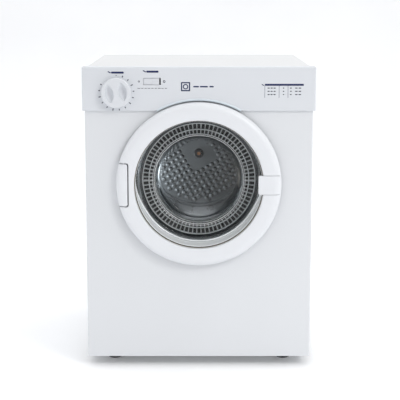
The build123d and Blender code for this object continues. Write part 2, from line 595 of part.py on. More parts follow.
with BuildPart() as front_air_duct:
    with BuildSketch(facing(BULKHEAD_FRONT)):
        with BuildLine():
            Polyline(*DUCT_OUTLINE, close=True)
        make_face()
    extrude(amount=BULKHEAD_FRONT - DUCT_FRONT)
    with BuildSketch(facing(BULKHEAD_FRONT)):
        with BuildLine():
            Polyline(*DUCT_OUTLINE, close=True)
        make_face()
        offset(amount=-DUCT_WALL)
    extrude(amount=BULKHEAD_FRONT - DUCT_FRONT - DUCT_WALL, mode=Mode.SUBTRACT)
    disc(0, DOOR_Z, DUCT_CLEARANCE, DUCT_FRONT - 1, BULKHEAD_FRONT + 1, mode=Mode.SUBTRACT)
front_air_duct.part.label = "front_air_duct"
export_step(front_air_duct.part, "parts/front_air_duct.step")

with BuildPart() as drum_front_felt:
    round_profile([(BULKHEAD_BACK, 178), (BULKHEAD_BACK, 192), (DRUM_FRONT - MOVING_GAP, 190),
                   (DRUM_FRONT - MOVING_GAP, 180)], DRUM_Z)
drum_front_felt.part.label = "drum_front_felt"
export_step(drum_front_felt.part, "parts/drum_front_felt.step")

PAD_OUTER = DRUM_MOUTH - MOVING_GAP
PAD_ARC = 26.0
PAD_ANGLES = (55.0, 125.0)
PAD_LENGTH = 12.0

with BuildPart() as drum_slide_pads:
    for pad_angle in PAD_ANGLES:
        with BuildSketch(facing(COLLAR_END)):
            with BuildLine():
                start = pad_angle - PAD_ARC / 2
                CenterArc((0, DRUM_Z), PAD_OUTER, start, PAD_ARC)
                CenterArc((0, DRUM_Z), COLLAR_RADIUS + SHEET, start, PAD_ARC)
                for end in (start, start + PAD_ARC):
                    way = (cos(radians(end)), sin(radians(end)))
                    Line(*[(r * way[0], DRUM_Z + r * way[1])
                           for r in (COLLAR_RADIUS + SHEET, PAD_OUTER)])
            make_face()
        extrude(amount=PAD_LENGTH)
drum_slide_pads.part.label = "drum_slide_pads"
export_step(drum_slide_pads.part, "parts/drum_slide_pads.step")

# ---------------------------------------------------------------------------
# Drum
# ---------------------------------------------------------------------------
SKIN = 1.2
RIB_DEPTHS = (-75.0, 20.0)      # where the shell has a rolled rib
RIB_HEIGHT = 3.0
LIFTER_ANGLES = (90.0, 210.0, 330.0)
LIFTER_Y = (-130.0, 140.0)
LIFTER_HEIGHT = 52.0
HUB_PLAIN = 36.0                # half-width of the plain square round the hub
HOLE_PITCH = 13.7
HOLE_RADIUS = 3.2
HOLE_FIELD = 121.0
HOLE_TURN = 30.0                # degrees, the hole grid against the horizontal



def ribbed_line(radius, depths):
    """Points along the shell at a radius, dipping inwards at each rib depth."""
    points = []
    for depth in depths:
        points += [(depth - 6, radius), (depth - 2, radius - RIB_HEIGHT),
                   (depth + 2, radius - RIB_HEIGHT), (depth + 6, radius)]
    return points


drum_profile = [(DRUM_FRONT, DRUM_MOUTH), (DRUM_FRONT, DRUM_RADIUS)]
drum_profile += ribbed_line(DRUM_RADIUS, RIB_DEPTHS)
drum_profile += [(DRUM_BACK, DRUM_RADIUS), (DRUM_BACK, DRUM_RADIUS - SKIN)]
drum_profile += reversed(ribbed_line(DRUM_RADIUS - SKIN, RIB_DEPTHS))
drum_profile += [(DRUM_FRONT + SKIN, DRUM_RADIUS - SKIN), (DRUM_FRONT + SKIN, DRUM_MOUTH + SKIN),
                 (COLLAR_END - 2, DRUM_MOUTH + SKIN), (COLLAR_END - 2, DRUM_MOUTH)]

with BuildPart() as drum_shell:
    round_profile(drum_profile, DRUM_Z)
drum_shell.part.label = "drum_shell"
export_step(drum_shell.part, "parts/drum_shell.step")

BACK_FRONT = 160.0              # inner face of the drum's back
BEAD_RADIUS = 132.0
BEAD_HEIGHT = 4.0


def back_line(depth):
    """Points across the drum's back, from its middle out, with the raised bead."""
    return [(depth, DRUM_SHAFT), (depth, BEAD_RADIUS - 5),
            (depth - BEAD_HEIGHT, BEAD_RADIUS - 2), (depth - BEAD_HEIGHT, BEAD_RADIUS + 2),
            (depth, BEAD_RADIUS + 5)]


def hole_places():
    """Centres of a turned square grid of holes, with a plain square round the hub."""
    reach = int(HOLE_FIELD / HOLE_PITCH) + 1
    turn = radians(HOLE_TURN)
    places = []
    for column in range(-reach, reach + 1):
        for row in range(-reach, reach + 1):
            u = column * HOLE_PITCH
            v = row * HOLE_PITCH
            if max(abs(u), abs(v)) > HUB_PLAIN and sqrt(u * u + v * v) < HOLE_FIELD:
                places.append((u * cos(turn) - v * sin(turn),
                               DRUM_Z + u * sin(turn) + v * cos(turn)))
    return places


with BuildPart() as drum_back:
    round_profile(back_line(BACK_FRONT)
                  + [(BACK_FRONT, DRUM_RADIUS - SKIN), (DRUM_BACK, DRUM_RADIUS - SKIN),
                     (DRUM_BACK, DRUM_RADIUS - 2 * SKIN),
                     (BACK_FRONT + SKIN, DRUM_RADIUS - 2 * SKIN)]
                  + back_line(BACK_FRONT + SKIN)[::-1], DRUM_Z)
    with BuildSketch(facing(BACK_FRONT + 3)):
        with Locations(*hole_places()):
            Circle(HOLE_RADIUS)
    extrude(amount=6, mode=Mode.SUBTRACT)
drum_back.part.label = "drum_back"
export_step(drum_back.part, "parts/drum_back.step")

LIFTER_FOOT = DRUM_RADIUS - RIB_HEIGHT - SKIN - 3.2
LIFTER_HALF_FOOT = 27.0
LIFTER_HALF_TIP = 9.0

with BuildPart() as drum_lifters:
    for lifter_angle in LIFTER_ANGLES:
        spoke = (cos(radians(lifter_angle)), 0, sin(radians(lifter_angle)))
        lifter_plane = Plane(origin=(LIFTER_FOOT * spoke[0], LIFTER_Y[0],
                                     DRUM_Z + LIFTER_FOOT * spoke[2]),
                             x_dir=(-spoke[2], 0, spoke[0]), z_dir=(0, 1, 0))
        tip = -LIFTER_HEIGHT * lifter_plane.y_dir.dot(Vector(*spoke))
        with BuildSketch(lifter_plane):
            with BuildLine():
                shoulder = 0.8 * tip
                Line((-LIFTER_HALF_FOOT, 0), (LIFTER_HALF_FOOT, 0))
                Line((LIFTER_HALF_FOOT, 0), (LIFTER_HALF_TIP, shoulder))
                ThreePointArc((LIFTER_HALF_TIP, shoulder), (0, tip), (-LIFTER_HALF_TIP, shoulder))
                Line((-LIFTER_HALF_TIP, shoulder), (-LIFTER_HALF_FOOT, 0))
            make_face()
        extrude(amount=LIFTER_Y[1] - LIFTER_Y[0], taper=2)
drum_lifters.part.label = "drum_lifters"
export_step(drum_lifters.part, "parts/drum_lifters.step")

SHAFT_END = 204.0
SHAFT_FLANGE = 40.0             # radius
HUB_WASHER = 11.5               # radius
HUB_SCREW = 4.2                 # radius

with BuildPart() as drum_shaft:
    disc(0, DRUM_Z, DRUM_SHAFT, BACK_FRONT - 2, SHAFT_END)
    disc(0, DRUM_Z, SHAFT_FLANGE, BACK_FRONT + SKIN, BACK_FRONT + SKIN + 3)
drum_shaft.part.label = "drum_shaft"
export_step(drum_shaft.part, "parts/drum_shaft.step")

with BuildPart() as drum_hub_washer:
    disc(0, DRUM_Z, HUB_WASHER, BACK_FRONT - 8, BACK_FRONT - 2)
    fillet(drum_hub_washer.edges().sort_by(Axis.Y)[0], 2)
    disc(0, DRUM_Z, HUB_SCREW, BACK_FRONT - 9, BACK_FRONT - 2, mode=Mode.SUBTRACT)
drum_hub_washer.part.label = "drum_hub_washer"
export_step(drum_hub_washer.part, "parts/drum_hub_washer.step")

with BuildPart() as drum_hub_screw:
    disc(0, DRUM_Z, HUB_SCREW, BACK_FRONT - 7, BACK_FRONT - 2)
    with BuildSketch(facing(BACK_FRONT - 5)):
        with Locations((0, DRUM_Z)):
            RegularPolygon(2.2, 6)
    extrude(amount=3, mode=Mode.SUBTRACT)
drum_hub_screw.part.label = "drum_hub_screw"
export_step(drum_hub_screw.part, "parts/drum_hub_screw.step")

# ---------------------------------------------------------------------------
# Rear bulkhead, bearing and heater
# ---------------------------------------------------------------------------
BEARING_OUTER = 18.0
HEATER_BACK = 221.0
AIR_SLOT = (70.0, 120.0)        # inner and outer radius of the ring of slots
AIR_SLOT_WIDTH = 44.0
AIR_SLOTS = 8
BEARING_HOLE = 26.0             # radius
VENT_CLEARANCE = 41.0           # half-width of the duct's hole

with BuildPart() as rear_bulkhead:
    block((-BULKHEAD_HALF, BULKHEAD_HALF), (REAR_BULKHEAD, REAR_BULKHEAD + SHEET),
          (TRAY_TOP + 2, CABINET_TOP - 2))
    disc(0, DRUM_Z, BEARING_HOLE, REAR_BULKHEAD - 1, REAR_BULKHEAD + 2, mode=Mode.SUBTRACT)
    with BuildSketch(facing(REAR_BULKHEAD + 2)):
        with Locations((0, DRUM_Z)):
            with PolarLocations(sum(AIR_SLOT) / 2, AIR_SLOTS, 180 / AIR_SLOTS):
                RectangleRounded(AIR_SLOT[1] - AIR_SLOT[0], AIR_SLOT_WIDTH, 8)
    extrude(amount=4, mode=Mode.SUBTRACT)
    block((VENT_X - VENT_CLEARANCE, VENT_X + VENT_CLEARANCE),
          (REAR_BULKHEAD - 1, REAR_BULKHEAD + 2),
          (VENT_Z - VENT_CLEARANCE, VENT_Z + VENT_CLEARANCE), mode=Mode.SUBTRACT)
rear_bulkhead.part.label = "rear_bulkhead"
export_step(rear_bulkhead.part, "parts/rear_bulkhead.step")

with BuildPart() as drum_rear_felt:
    round_profile([(REAR_BULKHEAD, 190), (REAR_BULKHEAD, 208), (DRUM_BACK + MOVING_GAP, 206),
                   (DRUM_BACK + MOVING_GAP, 192)], DRUM_Z)
drum_rear_felt.part.label = "drum_rear_felt"
export_step(drum_rear_felt.part, "parts/drum_rear_felt.step")

with BuildPart() as bearing_housing:
    block((-62, 62), (REAR_BULKHEAD + SHEET, REAR_BULKHEAD + 4), (DRUM_Z - 28, DRUM_Z + 28))
    disc(0, DRUM_Z, BEARING_OUTER + 6, REAR_BULKHEAD + SHEET, SHAFT_END - 2)
    disc(0, DRUM_Z, BEARING_OUTER, REAR_BULKHEAD, SHAFT_END, mode=Mode.SUBTRACT)
bearing_housing.part.label = "bearing_housing"
export_step(bearing_housing.part, "parts/bearing_housing.step")

with BuildPart() as drum_bearing:
    disc(0, DRUM_Z, BEARING_OUTER, REAR_BULKHEAD + SHEET, SHAFT_END - 3)
    disc(0, DRUM_Z, DRUM_SHAFT + RUNNING, REAR_BULKHEAD, SHAFT_END, mode=Mode.SUBTRACT)
drum_bearing.part.label = "drum_bearing"
export_step(drum_bearing.part, "parts/drum_bearing.step")

# The heater housing is a keyhole-shaped pan over the bulkhead's air slots.
PAN_RADIUS = 150.0
PAN_HALF = 95.0
PAN_BOTTOM = 205.0
INTAKES = (-60, -20, 20, 60)

with BuildPart() as heater_housing:
    for shrink, way in ((0, Mode.ADD), (SHEET, Mode.SUBTRACT)):
        pan_back = HEATER_BACK - shrink
        with BuildSketch(facing(pan_back)):
            with Locations((0, DRUM_Z)):
                Circle(PAN_RADIUS - shrink)
            with Locations((0, (PAN_BOTTOM + DRUM_Z) / 2)):
                Rectangle(2 * (PAN_HALF - shrink), DRUM_Z - PAN_BOTTOM - 2 * shrink)
        extrude(amount=pan_back - REAR_BULKHEAD - SHEET, mode=way)
    for intake_x in INTAKES:
        block((intake_x - 14, intake_x + 14), (190, 212), (PAN_BOTTOM - 2, PAN_BOTTOM + 3),
              mode=Mode.SUBTRACT)
heater_housing.part.label = "heater_housing"
export_step(heater_housing.part, "parts/heater_housing.step")

# The element is one sheathed rod, bent back and forth across the pan.
ROD_RADIUS = 3.2
ROD_Y = 198.0
ROD_ROWS = [228, 244, 260, 276]
ROD_REACH = 78.0
ROD_BEND = 7.9                  # radius at the middle of the rod
ROD_HOLDERS = (-45, 45)
rod_points = []
for row_index, row_z in enumerate(ROD_ROWS):
    row_start = ROD_REACH if row_index % 2 else -ROD_REACH
    rod_points += [(row_start, ROD_Y, row_z), (-row_start, ROD_Y, row_z)]

with BuildPart() as heater_element:
    with BuildLine():
        FilletPolyline(*rod_points, radius=ROD_BEND)
    with BuildSketch(Plane(origin=rod_points[0], z_dir=(1, 0, 0))):
        Circle(ROD_RADIUS)
    sweep()
    for holder_x in ROD_HOLDERS:
        block((holder_x - 1, holder_x + 1), (ROD_Y - 10, HEATER_BACK - SHEET),
              (ROD_ROWS[0] - 10, ROD_ROWS[-1] + 10))
heater_element.part.label = "heater_element"
export_step(heater_element.part, "parts/heater_element.step")

THERMOSTAT_X = (-40, 40)
THERMOSTAT_Z = 320.0

with BuildPart() as thermostats:
    for thermostat_x in THERMOSTAT_X:
        disc(thermostat_x, THERMOSTAT_Z, 9, HEATER_BACK, HEATER_BACK + 5)
        disc(thermostat_x, THERMOSTAT_Z, 4, HEATER_BACK, HEATER_BACK + 6.5)
thermostats.part.label = "thermostats"
export_step(thermostats.part, "parts/thermostats.step")

# ---------------------------------------------------------------------------
# Fan, exhaust duct and vent
# ---------------------------------------------------------------------------
FAN_FRONT = BULKHEAD_BACK
FAN_BACK = -112.0
FAN_WALL = 2.0
DUCT_HALF = 40.0
DUCT_END = 180.0
DUCT_CORNER = 8.0
DUCT_BORE = DUCT_HALF - FAN_WALL
SCROLL_BOTTOM = MOTOR_Z - FAN_HOUSING_RADIUS

with BuildPart() as fan_housing:
    for shrink, way in ((0, Mode.ADD), (FAN_WALL, Mode.SUBTRACT)):
        with BuildSketch(facing(FAN_BACK - shrink)):
            with Locations((MOTOR_X, MOTOR_Z)):
                Circle(FAN_HOUSING_RADIUS - shrink)
            with Locations(((MOTOR_X + VENT_X + DUCT_HALF) / 2, (MOTOR_Z + SCROLL_BOTTOM) / 2)):
                Rectangle(VENT_X + DUCT_HALF - MOTOR_X - 2 * shrink,
                          FAN_HOUSING_RADIUS - 2 * shrink)
            with Locations((VENT_X, VENT_Z)):
                Rectangle(2 * (DUCT_HALF - shrink), 2 * (DUCT_HALF - shrink))
        extrude(amount=FAN_BACK - FAN_FRONT - 2 * shrink, mode=way)
    disc(MOTOR_X, MOTOR_Z, FAN_INLET, FAN_FRONT - 1, FAN_FRONT + 3, mode=Mode.SUBTRACT)
    disc(MOTOR_X, MOTOR_Z, 12, FAN_BACK - 3, FAN_BACK + 1, mode=Mode.SUBTRACT)
    block((VENT_X - DUCT_BORE, VENT_X + DUCT_BORE), (FAN_BACK - 3, FAN_BACK + 1),
          (VENT_Z - DUCT_BORE, VENT_Z + DUCT_BORE), mode=Mode.SUBTRACT)
fan_housing.part.label = "fan_housing"
export_step(fan_housing.part, "parts/fan_housing.step")

SPIGOT_START = 222.0
SPIGOT_WALL = 3.0

with BuildPart() as exhaust_duct:
    for shrink, way in ((0, Mode.ADD), (FAN_WALL, Mode.SUBTRACT)):
        duct_side = 2 * (DUCT_HALF - shrink)
        with BuildSketch(facing(DUCT_END)):
            with Locations((VENT_X, VENT_Z)):
                RectangleRounded(duct_side, duct_side, DUCT_CORNER - shrink)
        extrude(amount=DUCT_END - FAN_BACK, mode=way)
        with BuildSketch(facing(DUCT_END)):
            with Locations((VENT_X, VENT_Z)):
                RectangleRounded(duct_side, duct_side, DUCT_CORNER - shrink)
        with BuildSketch(facing(SPIGOT_START)):
            with Locations((VENT_X, VENT_Z)):
                Circle(VENT_RADIUS - SPIGOT_WALL - shrink)
        loft(mode=way)
exhaust_duct.part.label = "exhaust_duct"
export_step(exhaust_duct.part, "parts/exhaust_duct.step")

with BuildPart() as vent_spigot:
    disc(VENT_X, VENT_Z, VENT_RADIUS, SPIGOT_START, SPIGOT_END)
    disc(VENT_X, VENT_Z, VENT_RADIUS + 10, BACK_FACE, BACK_FACE + 2)
    disc(VENT_X, VENT_Z, VENT_RADIUS - SPIGOT_WALL, SPIGOT_START - 1, SPIGOT_END + 1,
         mode=Mode.SUBTRACT)
vent_spigot.part.label = "vent_spigot"
export_step(vent_spigot.part, "parts/vent_spigot.step")

IMPELLER_Y = (-150.0, -118.0)
IMPELLER_RADIUS = 68.0
BLADES = 24
BLADE = (17.0, 1.4)
BLADE_TURN = 35.0               # degrees off the radial line

with BuildPart() as fan_impeller:
    disc(MOTOR_X, MOTOR_Z, IMPELLER_RADIUS, IMPELLER_Y[1] - 2, IMPELLER_Y[1])
    disc(MOTOR_X, MOTOR_Z, IMPELLER_RADIUS, IMPELLER_Y[0], IMPELLER_Y[0] + 2)
    disc(MOTOR_X, MOTOR_Z, IMPELLER_RADIUS - 16, IMPELLER_Y[0] - 1, IMPELLER_Y[0] + 2,
         mode=Mode.SUBTRACT)
    disc(MOTOR_X, MOTOR_Z, 14, IMPELLER_Y[0] + 12, IMPELLER_Y[1])
    with BuildSketch(facing(IMPELLER_Y[1] - 2)):
        with Locations((MOTOR_X, MOTOR_Z)):
            with PolarLocations(IMPELLER_RADIUS - 9, BLADES):
                Rectangle(*BLADE, rotation=BLADE_TURN)
    extrude(amount=IMPELLER_Y[1] - IMPELLER_Y[0] - 4)
    disc(MOTOR_X, MOTOR_Z, MOTOR_SHAFT, IMPELLER_Y[0] - 1, IMPELLER_Y[1] + 1,
         mode=Mode.SUBTRACT)
fan_impeller.part.label = "fan_impeller"
export_step(fan_impeller.part, "parts/fan_impeller.step")

# ---------------------------------------------------------------------------
# Motor, belt and tensioner
# ---------------------------------------------------------------------------
STATOR_RADIUS = 55.0
STATOR_Y = (-90.0, 50.0)
ROTOR_RADIUS = 28.0
PULLEY_Y = (BELT_FRONT - 4, BELT_BACK + 4)

with BuildPart() as motor_stator:
    disc(MOTOR_X, MOTOR_Z, STATOR_RADIUS - 6, *STATOR_Y)
    disc(MOTOR_X, MOTOR_Z, STATOR_RADIUS, STATOR_Y[0] + 25, STATOR_Y[1] - 25)
    disc(MOTOR_X, MOTOR_Z, 14, STATOR_Y[0] - 8, STATOR_Y[1] + 8)
    disc(MOTOR_X, MOTOR_Z, ROTOR_RADIUS + 0.6, STATOR_Y[0] + 12, STATOR_Y[1] - 12,
         mode=Mode.SUBTRACT)
    disc(MOTOR_X, MOTOR_Z, MOTOR_SHAFT + RUNNING, STATOR_Y[0] - 9, STATOR_Y[1] + 9,
         mode=Mode.SUBTRACT)
motor_stator.part.label = "motor_stator"
export_step(motor_stator.part, "parts/motor_stator.step")

with BuildPart() as motor_rotor:
    disc(MOTOR_X, MOTOR_Z, MOTOR_SHAFT, IMPELLER_Y[0] + 4, PULLEY_Y[1] + 4)
    disc(MOTOR_X, MOTOR_Z, ROTOR_RADIUS, STATOR_Y[0] + 18, STATOR_Y[1] - 18)
motor_rotor.part.label = "motor_rotor"
export_step(motor_rotor.part, "parts/motor_rotor.step")

with BuildPart() as motor_pulley:
    disc(MOTOR_X, MOTOR_Z, PULLEY_RADIUS, *PULLEY_Y)
    for flange_y in (PULLEY_Y[0], PULLEY_Y[1] - 2):
        disc(MOTOR_X, MOTOR_Z, PULLEY_RADIUS + 4, flange_y, flange_y + 2)
    disc(MOTOR_X, MOTOR_Z, MOTOR_SHAFT, PULLEY_Y[0] - 1, PULLEY_Y[1] + 1, mode=Mode.SUBTRACT)
motor_pulley.part.label = "motor_pulley"
export_step(motor_pulley.part, "parts/motor_pulley.step")

TRAY_FLOOR = FOOT_HEIGHT + TRAY_WALL
IDLER_PIVOT = (MOTOR_X + 67, 60.0)
PIVOT_RADIUS = 4.0
IDLER_POST_Y = (118, 125)

with BuildPart() as motor_bracket:
    block((MOTOR_X - 50, MOTOR_X + 50), (STATOR_Y[0] + 5, IDLER_POST_Y[1]),
          (TRAY_FLOOR, TRAY_FLOOR + 3))
    for cradle_y in (STATOR_Y[0] + 8, STATOR_Y[1] - 14):
        block((MOTOR_X - 40, MOTOR_X + 40), (cradle_y, cradle_y + 6),
              (TRAY_FLOOR + 3, MOTOR_Z - 15))
        disc(MOTOR_X, MOTOR_Z, STATOR_RADIUS - 6, cradle_y - 1, cradle_y + 7, mode=Mode.SUBTRACT)
    block((MOTOR_X + 30, MOTOR_X + 85), IDLER_POST_Y, (TRAY_FLOOR, TRAY_FLOOR + 40))
    disc(*IDLER_PIVOT, PIVOT_RADIUS, BELT_BACK + 3, IDLER_POST_Y[0])
motor_bracket.part.label = "motor_bracket"
export_step(motor_bracket.part, "parts/motor_bracket.step")

CAPACITOR = (-205.0, 70.0)
CAPACITOR_RADIUS = 17.0
CAPACITOR_Y = (-60.0, 20.0)

with BuildPart() as motor_capacitor:
    disc(*CAPACITOR, CAPACITOR_RADIUS, *CAPACITOR_Y)
    disc(*CAPACITOR, 6, CAPACITOR_Y[1], CAPACITOR_Y[1] + 8)
    block((CAPACITOR[0] - CAPACITOR_RADIUS, CAPACITOR[0] + CAPACITOR_RADIUS),
          (CAPACITOR_Y[0] + 20, CAPACITOR_Y[0] + 26), (TRAY_FLOOR, CAPACITOR[1] - 10))
motor_capacitor.part.label = "motor_capacitor"
export_step(motor_capacitor.part, "parts/motor_capacitor.step")

with BuildPart() as drive_belt:
    for thickness, way in ((BELT_THICKNESS, Mode.ADD), (0, Mode.SUBTRACT)):
        with BuildSketch(facing(BELT_BACK)):
            with Locations((0, DRUM_Z)):
                Circle(DRUM_RADIUS + MOVING_GAP + thickness)
            with Locations((MOTOR_X, MOTOR_Z)):
                Circle(PULLEY_RADIUS + MOVING_GAP + thickness)
            make_hull()
        extrude(amount=BELT_BACK - BELT_FRONT, mode=way)
drive_belt.part.label = "drive_belt"
export_step(drive_belt.part, "parts/drive_belt.step")

# The idler leans on the outside of the belt's slack side, near the motor.
drum_offset = Vector(-MOTOR_X, DRUM_Z - MOTOR_Z)
wrap = DRUM_RADIUS - PULLEY_RADIUS
belt_angle = drum_offset.get_angle(Vector(1, 0)) - Vector(sqrt(drum_offset.length**2 - wrap**2),
                                                          wrap).get_angle(Vector(1, 0))
along = Vector(cos(radians(belt_angle)), sin(radians(belt_angle)))
outward = Vector(along.Y, -along.X)
IDLER_ALONG = 60.0
idler_centre = (Vector(MOTOR_X, MOTOR_Z) + along * IDLER_ALONG
                + outward * (PULLEY_RADIUS + BELT_THICKNESS + 2 * MOVING_GAP + IDLER_RADIUS))
IDLER_PIN = 3.0                 # radius
ARM_Y = (110.0, 113.0)

with BuildPart() as idler_pulley:
    disc(idler_centre.X, idler_centre.Y, IDLER_RADIUS, BELT_FRONT - 2, BELT_BACK + 2)
    disc(idler_centre.X, idler_centre.Y, IDLER_PIN + RUNNING, BELT_FRONT - 3, BELT_BACK + 3,
         mode=Mode.SUBTRACT)
idler_pulley.part.label = "idler_pulley"
export_step(idler_pulley.part, "parts/idler_pulley.step")

with BuildPart() as idler_arm:
    with BuildSketch(facing(ARM_Y[1])):
        for place, radius in ((idler_centre, 8), (Vector(*IDLER_PIVOT), 9)):
            with Locations((place.X, place.Y)):
                Circle(radius)
        make_hull()
    extrude(amount=ARM_Y[1] - ARM_Y[0])
    disc(idler_centre.X, idler_centre.Y, IDLER_PIN, BELT_FRONT - 4, ARM_Y[0])
    disc(idler_centre.X, idler_centre.Y, 5, BELT_BACK + 2.3, ARM_Y[0])
    disc(*IDLER_PIVOT, PIVOT_RADIUS + RUNNING, ARM_Y[0] - 1, ARM_Y[1] + 1, mode=Mode.SUBTRACT)
idler_arm.part.label = "idler_arm"
export_step(idler_arm.part, "parts/idler_arm.step")

# The tensioner's spring is a torsion coil round the pivot, in front of the arm.
SPRING_WIRE = 0.7               # radius
SPRING_RADIUS = 7.0
SPRING_LENGTH = 7.0

with BuildPart() as idler_spring:
    with BuildLine() as spring_path:
        Helix(pitch=2.2, height=SPRING_LENGTH, radius=SPRING_RADIUS,
              center=(IDLER_PIVOT[0], ARM_Y[0] - 0.8, IDLER_PIVOT[1]), direction=(0, -1, 0))
    with BuildSketch(Plane(origin=spring_path.line @ 0, z_dir=spring_path.line % 0)):
        Circle(SPRING_WIRE)
    sweep()
idler_spring.part.label = "idler_spring"
export_step(idler_spring.part, "parts/idler_spring.step")

# ---------------------------------------------------------------------------
# Mains entry
# ---------------------------------------------------------------------------
GLAND_BORE = 4.0                # radius

with BuildPart() as cable_gland:
    disc(*GLAND, GLAND_NECK, BACK_FACE - 6, BACK_FACE)
    disc(*GLAND, GLAND_NECK + 3, BACK_FACE, BACK_FACE + 3)
    disc(*GLAND, GLAND_NECK - 1.5, BACK_FACE + 3, BACK_FACE + 10)
    disc(*GLAND, GLAND_BORE, BACK_FACE - 7, BACK_FACE + 11, mode=Mode.SUBTRACT)
cable_gland.part.label = "cable_gland"
export_step(cable_gland.part, "parts/cable_gland.step")

TERMINALS = (-207.5, 520.0)
TERMINAL_HALF = (17.5, 15.0)
TERMINAL_Y = (180.0, 194.0)

with BuildPart() as terminal_block:
    terminal_x = (TERMINALS[0] - TERMINAL_HALF[0], TERMINALS[0] + TERMINAL_HALF[0])
    block(terminal_x, TERMINAL_Y,
          (TERMINALS[1] - TERMINAL_HALF[1], TERMINALS[1] + TERMINAL_HALF[1]))
    block(terminal_x, (REAR_BULKHEAD + SHEET, TERMINAL_Y[0]), (TERMINALS[1] - 8, TERMINALS[1] + 8))
    with BuildSketch(facing(TERMINAL_Y[1])):
        with Locations(TERMINALS):
            with GridLocations(11, 14, 3, 2):
                Circle(3)
    extrude(amount=3, mode=Mode.SUBTRACT)
terminal_block.part.label = "terminal_block"
export_step(terminal_block.part, "parts/terminal_block.step")
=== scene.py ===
import json
from math import cos, pi, radians, sin, sqrt

import bmesh
import bpy
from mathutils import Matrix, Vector


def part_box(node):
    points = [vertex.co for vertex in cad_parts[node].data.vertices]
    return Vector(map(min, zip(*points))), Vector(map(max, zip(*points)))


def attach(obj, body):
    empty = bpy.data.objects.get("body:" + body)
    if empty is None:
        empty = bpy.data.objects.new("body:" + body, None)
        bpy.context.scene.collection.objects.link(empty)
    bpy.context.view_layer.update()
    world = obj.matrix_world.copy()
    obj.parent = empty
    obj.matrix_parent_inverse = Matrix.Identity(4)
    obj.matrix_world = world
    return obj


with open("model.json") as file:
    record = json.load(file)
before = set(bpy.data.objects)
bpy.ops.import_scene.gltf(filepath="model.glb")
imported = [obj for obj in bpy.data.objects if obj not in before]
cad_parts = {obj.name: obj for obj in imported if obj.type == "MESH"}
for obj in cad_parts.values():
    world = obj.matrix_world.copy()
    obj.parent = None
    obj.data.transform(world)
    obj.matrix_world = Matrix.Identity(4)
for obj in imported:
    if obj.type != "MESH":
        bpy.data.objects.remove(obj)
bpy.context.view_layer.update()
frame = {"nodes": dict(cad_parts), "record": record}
nodes = frame["nodes"]


# ---------------------------------------------------------------------------
# Places read from the frame, in metres
# ---------------------------------------------------------------------------
def middle(node):
    """Centre of a CAD node's box."""
    low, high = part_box(node)
    return (Vector(low) + Vector(high)) / 2


FACIA_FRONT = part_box("control_facia")[0][1]
DOOR = middle("door_window")
DRUM = middle("drum_shell")
DRUM_BACK_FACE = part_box("drum_back")[0][1] + 0.004
KNOB = middle("timer_knob")
KNOB_RADIUS = (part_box("timer_knob")[1][0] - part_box("timer_knob")[0][0]) / 2
ROCKER = middle("rocker_housing")


# ---------------------------------------------------------------------------
# Node-tree helpers
# ---------------------------------------------------------------------------
class Tree:
    """A small wrapper that adds and links the nodes of one material."""

    def __init__(self, name):
        self.material = bpy.data.materials.new(name)
        self.material.use_nodes = True
        self.tree = self.material.node_tree
        self.shader = self.tree.nodes["Principled BSDF"]
        self.place = self.add("ShaderNodeTexCoord").outputs["Object"]

    def add(self, kind, **values):
        node = self.tree.nodes.new(kind)
        for key, value in values.items():
            if hasattr(node, key):
                setattr(node, key, value)
            else:
                node.inputs[key.replace("_", " ")].default_value = value
        return node

    def link(self, source, target):
        self.tree.links.new(source, target)

    def set(self, **values):
        for key, value in values.items():
            self.shader.inputs[key.replace("_", " ")].default_value = value

    def stretched(self, scale):
        """The object's own coordinates, scaled by three numbers."""
        mapping = self.add("ShaderNodeMapping")
        mapping.inputs["Scale"].default_value = scale
        self.link(self.place, mapping.inputs["Vector"])
        return mapping.outputs["Vector"]

    def noise(self, scale, detail=4.0, vector=None, roughness=0.55):
        node = self.add("ShaderNodeTexNoise", Scale=scale, Detail=detail, Roughness=roughness)
        self.link(vector or self.place, node.inputs["Vector"])
        return node.outputs["Fac"]

    def ramp(self, factor, low, high, start=0.3, end=0.7):
        """Factor spread between two colours."""
        node = self.add("ShaderNodeValToRGB")
        node.color_ramp.elements[0].position = start
        node.color_ramp.elements[0].color = (*low, 1)
        node.color_ramp.elements[1].position = end
        node.color_ramp.elements[1].color = (*high, 1)
        self.link(factor, node.inputs["Fac"])
        return node.outputs["Color"]

    def spread(self, factor, low, high, start=0.0, end=1.0):
        """Factor mapped from one range of numbers to another."""
        node = self.add("ShaderNodeMapRange", From_Min=start, From_Max=end, To_Min=low, To_Max=high)
        self.link(factor, node.inputs["Value"])
        return node.outputs["Result"]

    def bump(self, height, strength, distance, under=None):
        node = self.add("ShaderNodeBump", Strength=strength, Distance=distance)
        self.link(height, node.inputs["Height"])
        if under is not None:
            self.link(under, node.inputs["Normal"])
        self.link(node.outputs["Normal"], self.shader.inputs["Normal"])
        return node.outputs["Normal"]

    def colour(self, output):
        self.link(output, self.shader.inputs["Base Color"])

    def roughness(self, output):
        self.link(output, self.shader.inputs["Roughness"])


def tinted(colour, factor):
    return tuple(channel * factor for channel in colour)


# ---------------------------------------------------------------------------
# Materials
# ---------------------------------------------------------------------------
def painted(name, colour, roughness=0.32, coat=0.25):
    """Powder-coated steel: a faint orange peel and a slow drift of tone."""
    tree = Tree(name)
    tree.colour(tree.ramp(tree.noise(3.0, 2), tinted(colour, 0.975), colour))
    tree.roughness(tree.spread(tree.noise(35.0, 3), roughness - 0.05, roughness + 0.06))
    tree.set(Coat_Weight=coat, Coat_Roughness=0.2, Specular_IOR_Level=0.45)
    tree.bump(tree.noise(420.0, 2), 0.08, 0.0004)
    return tree.material


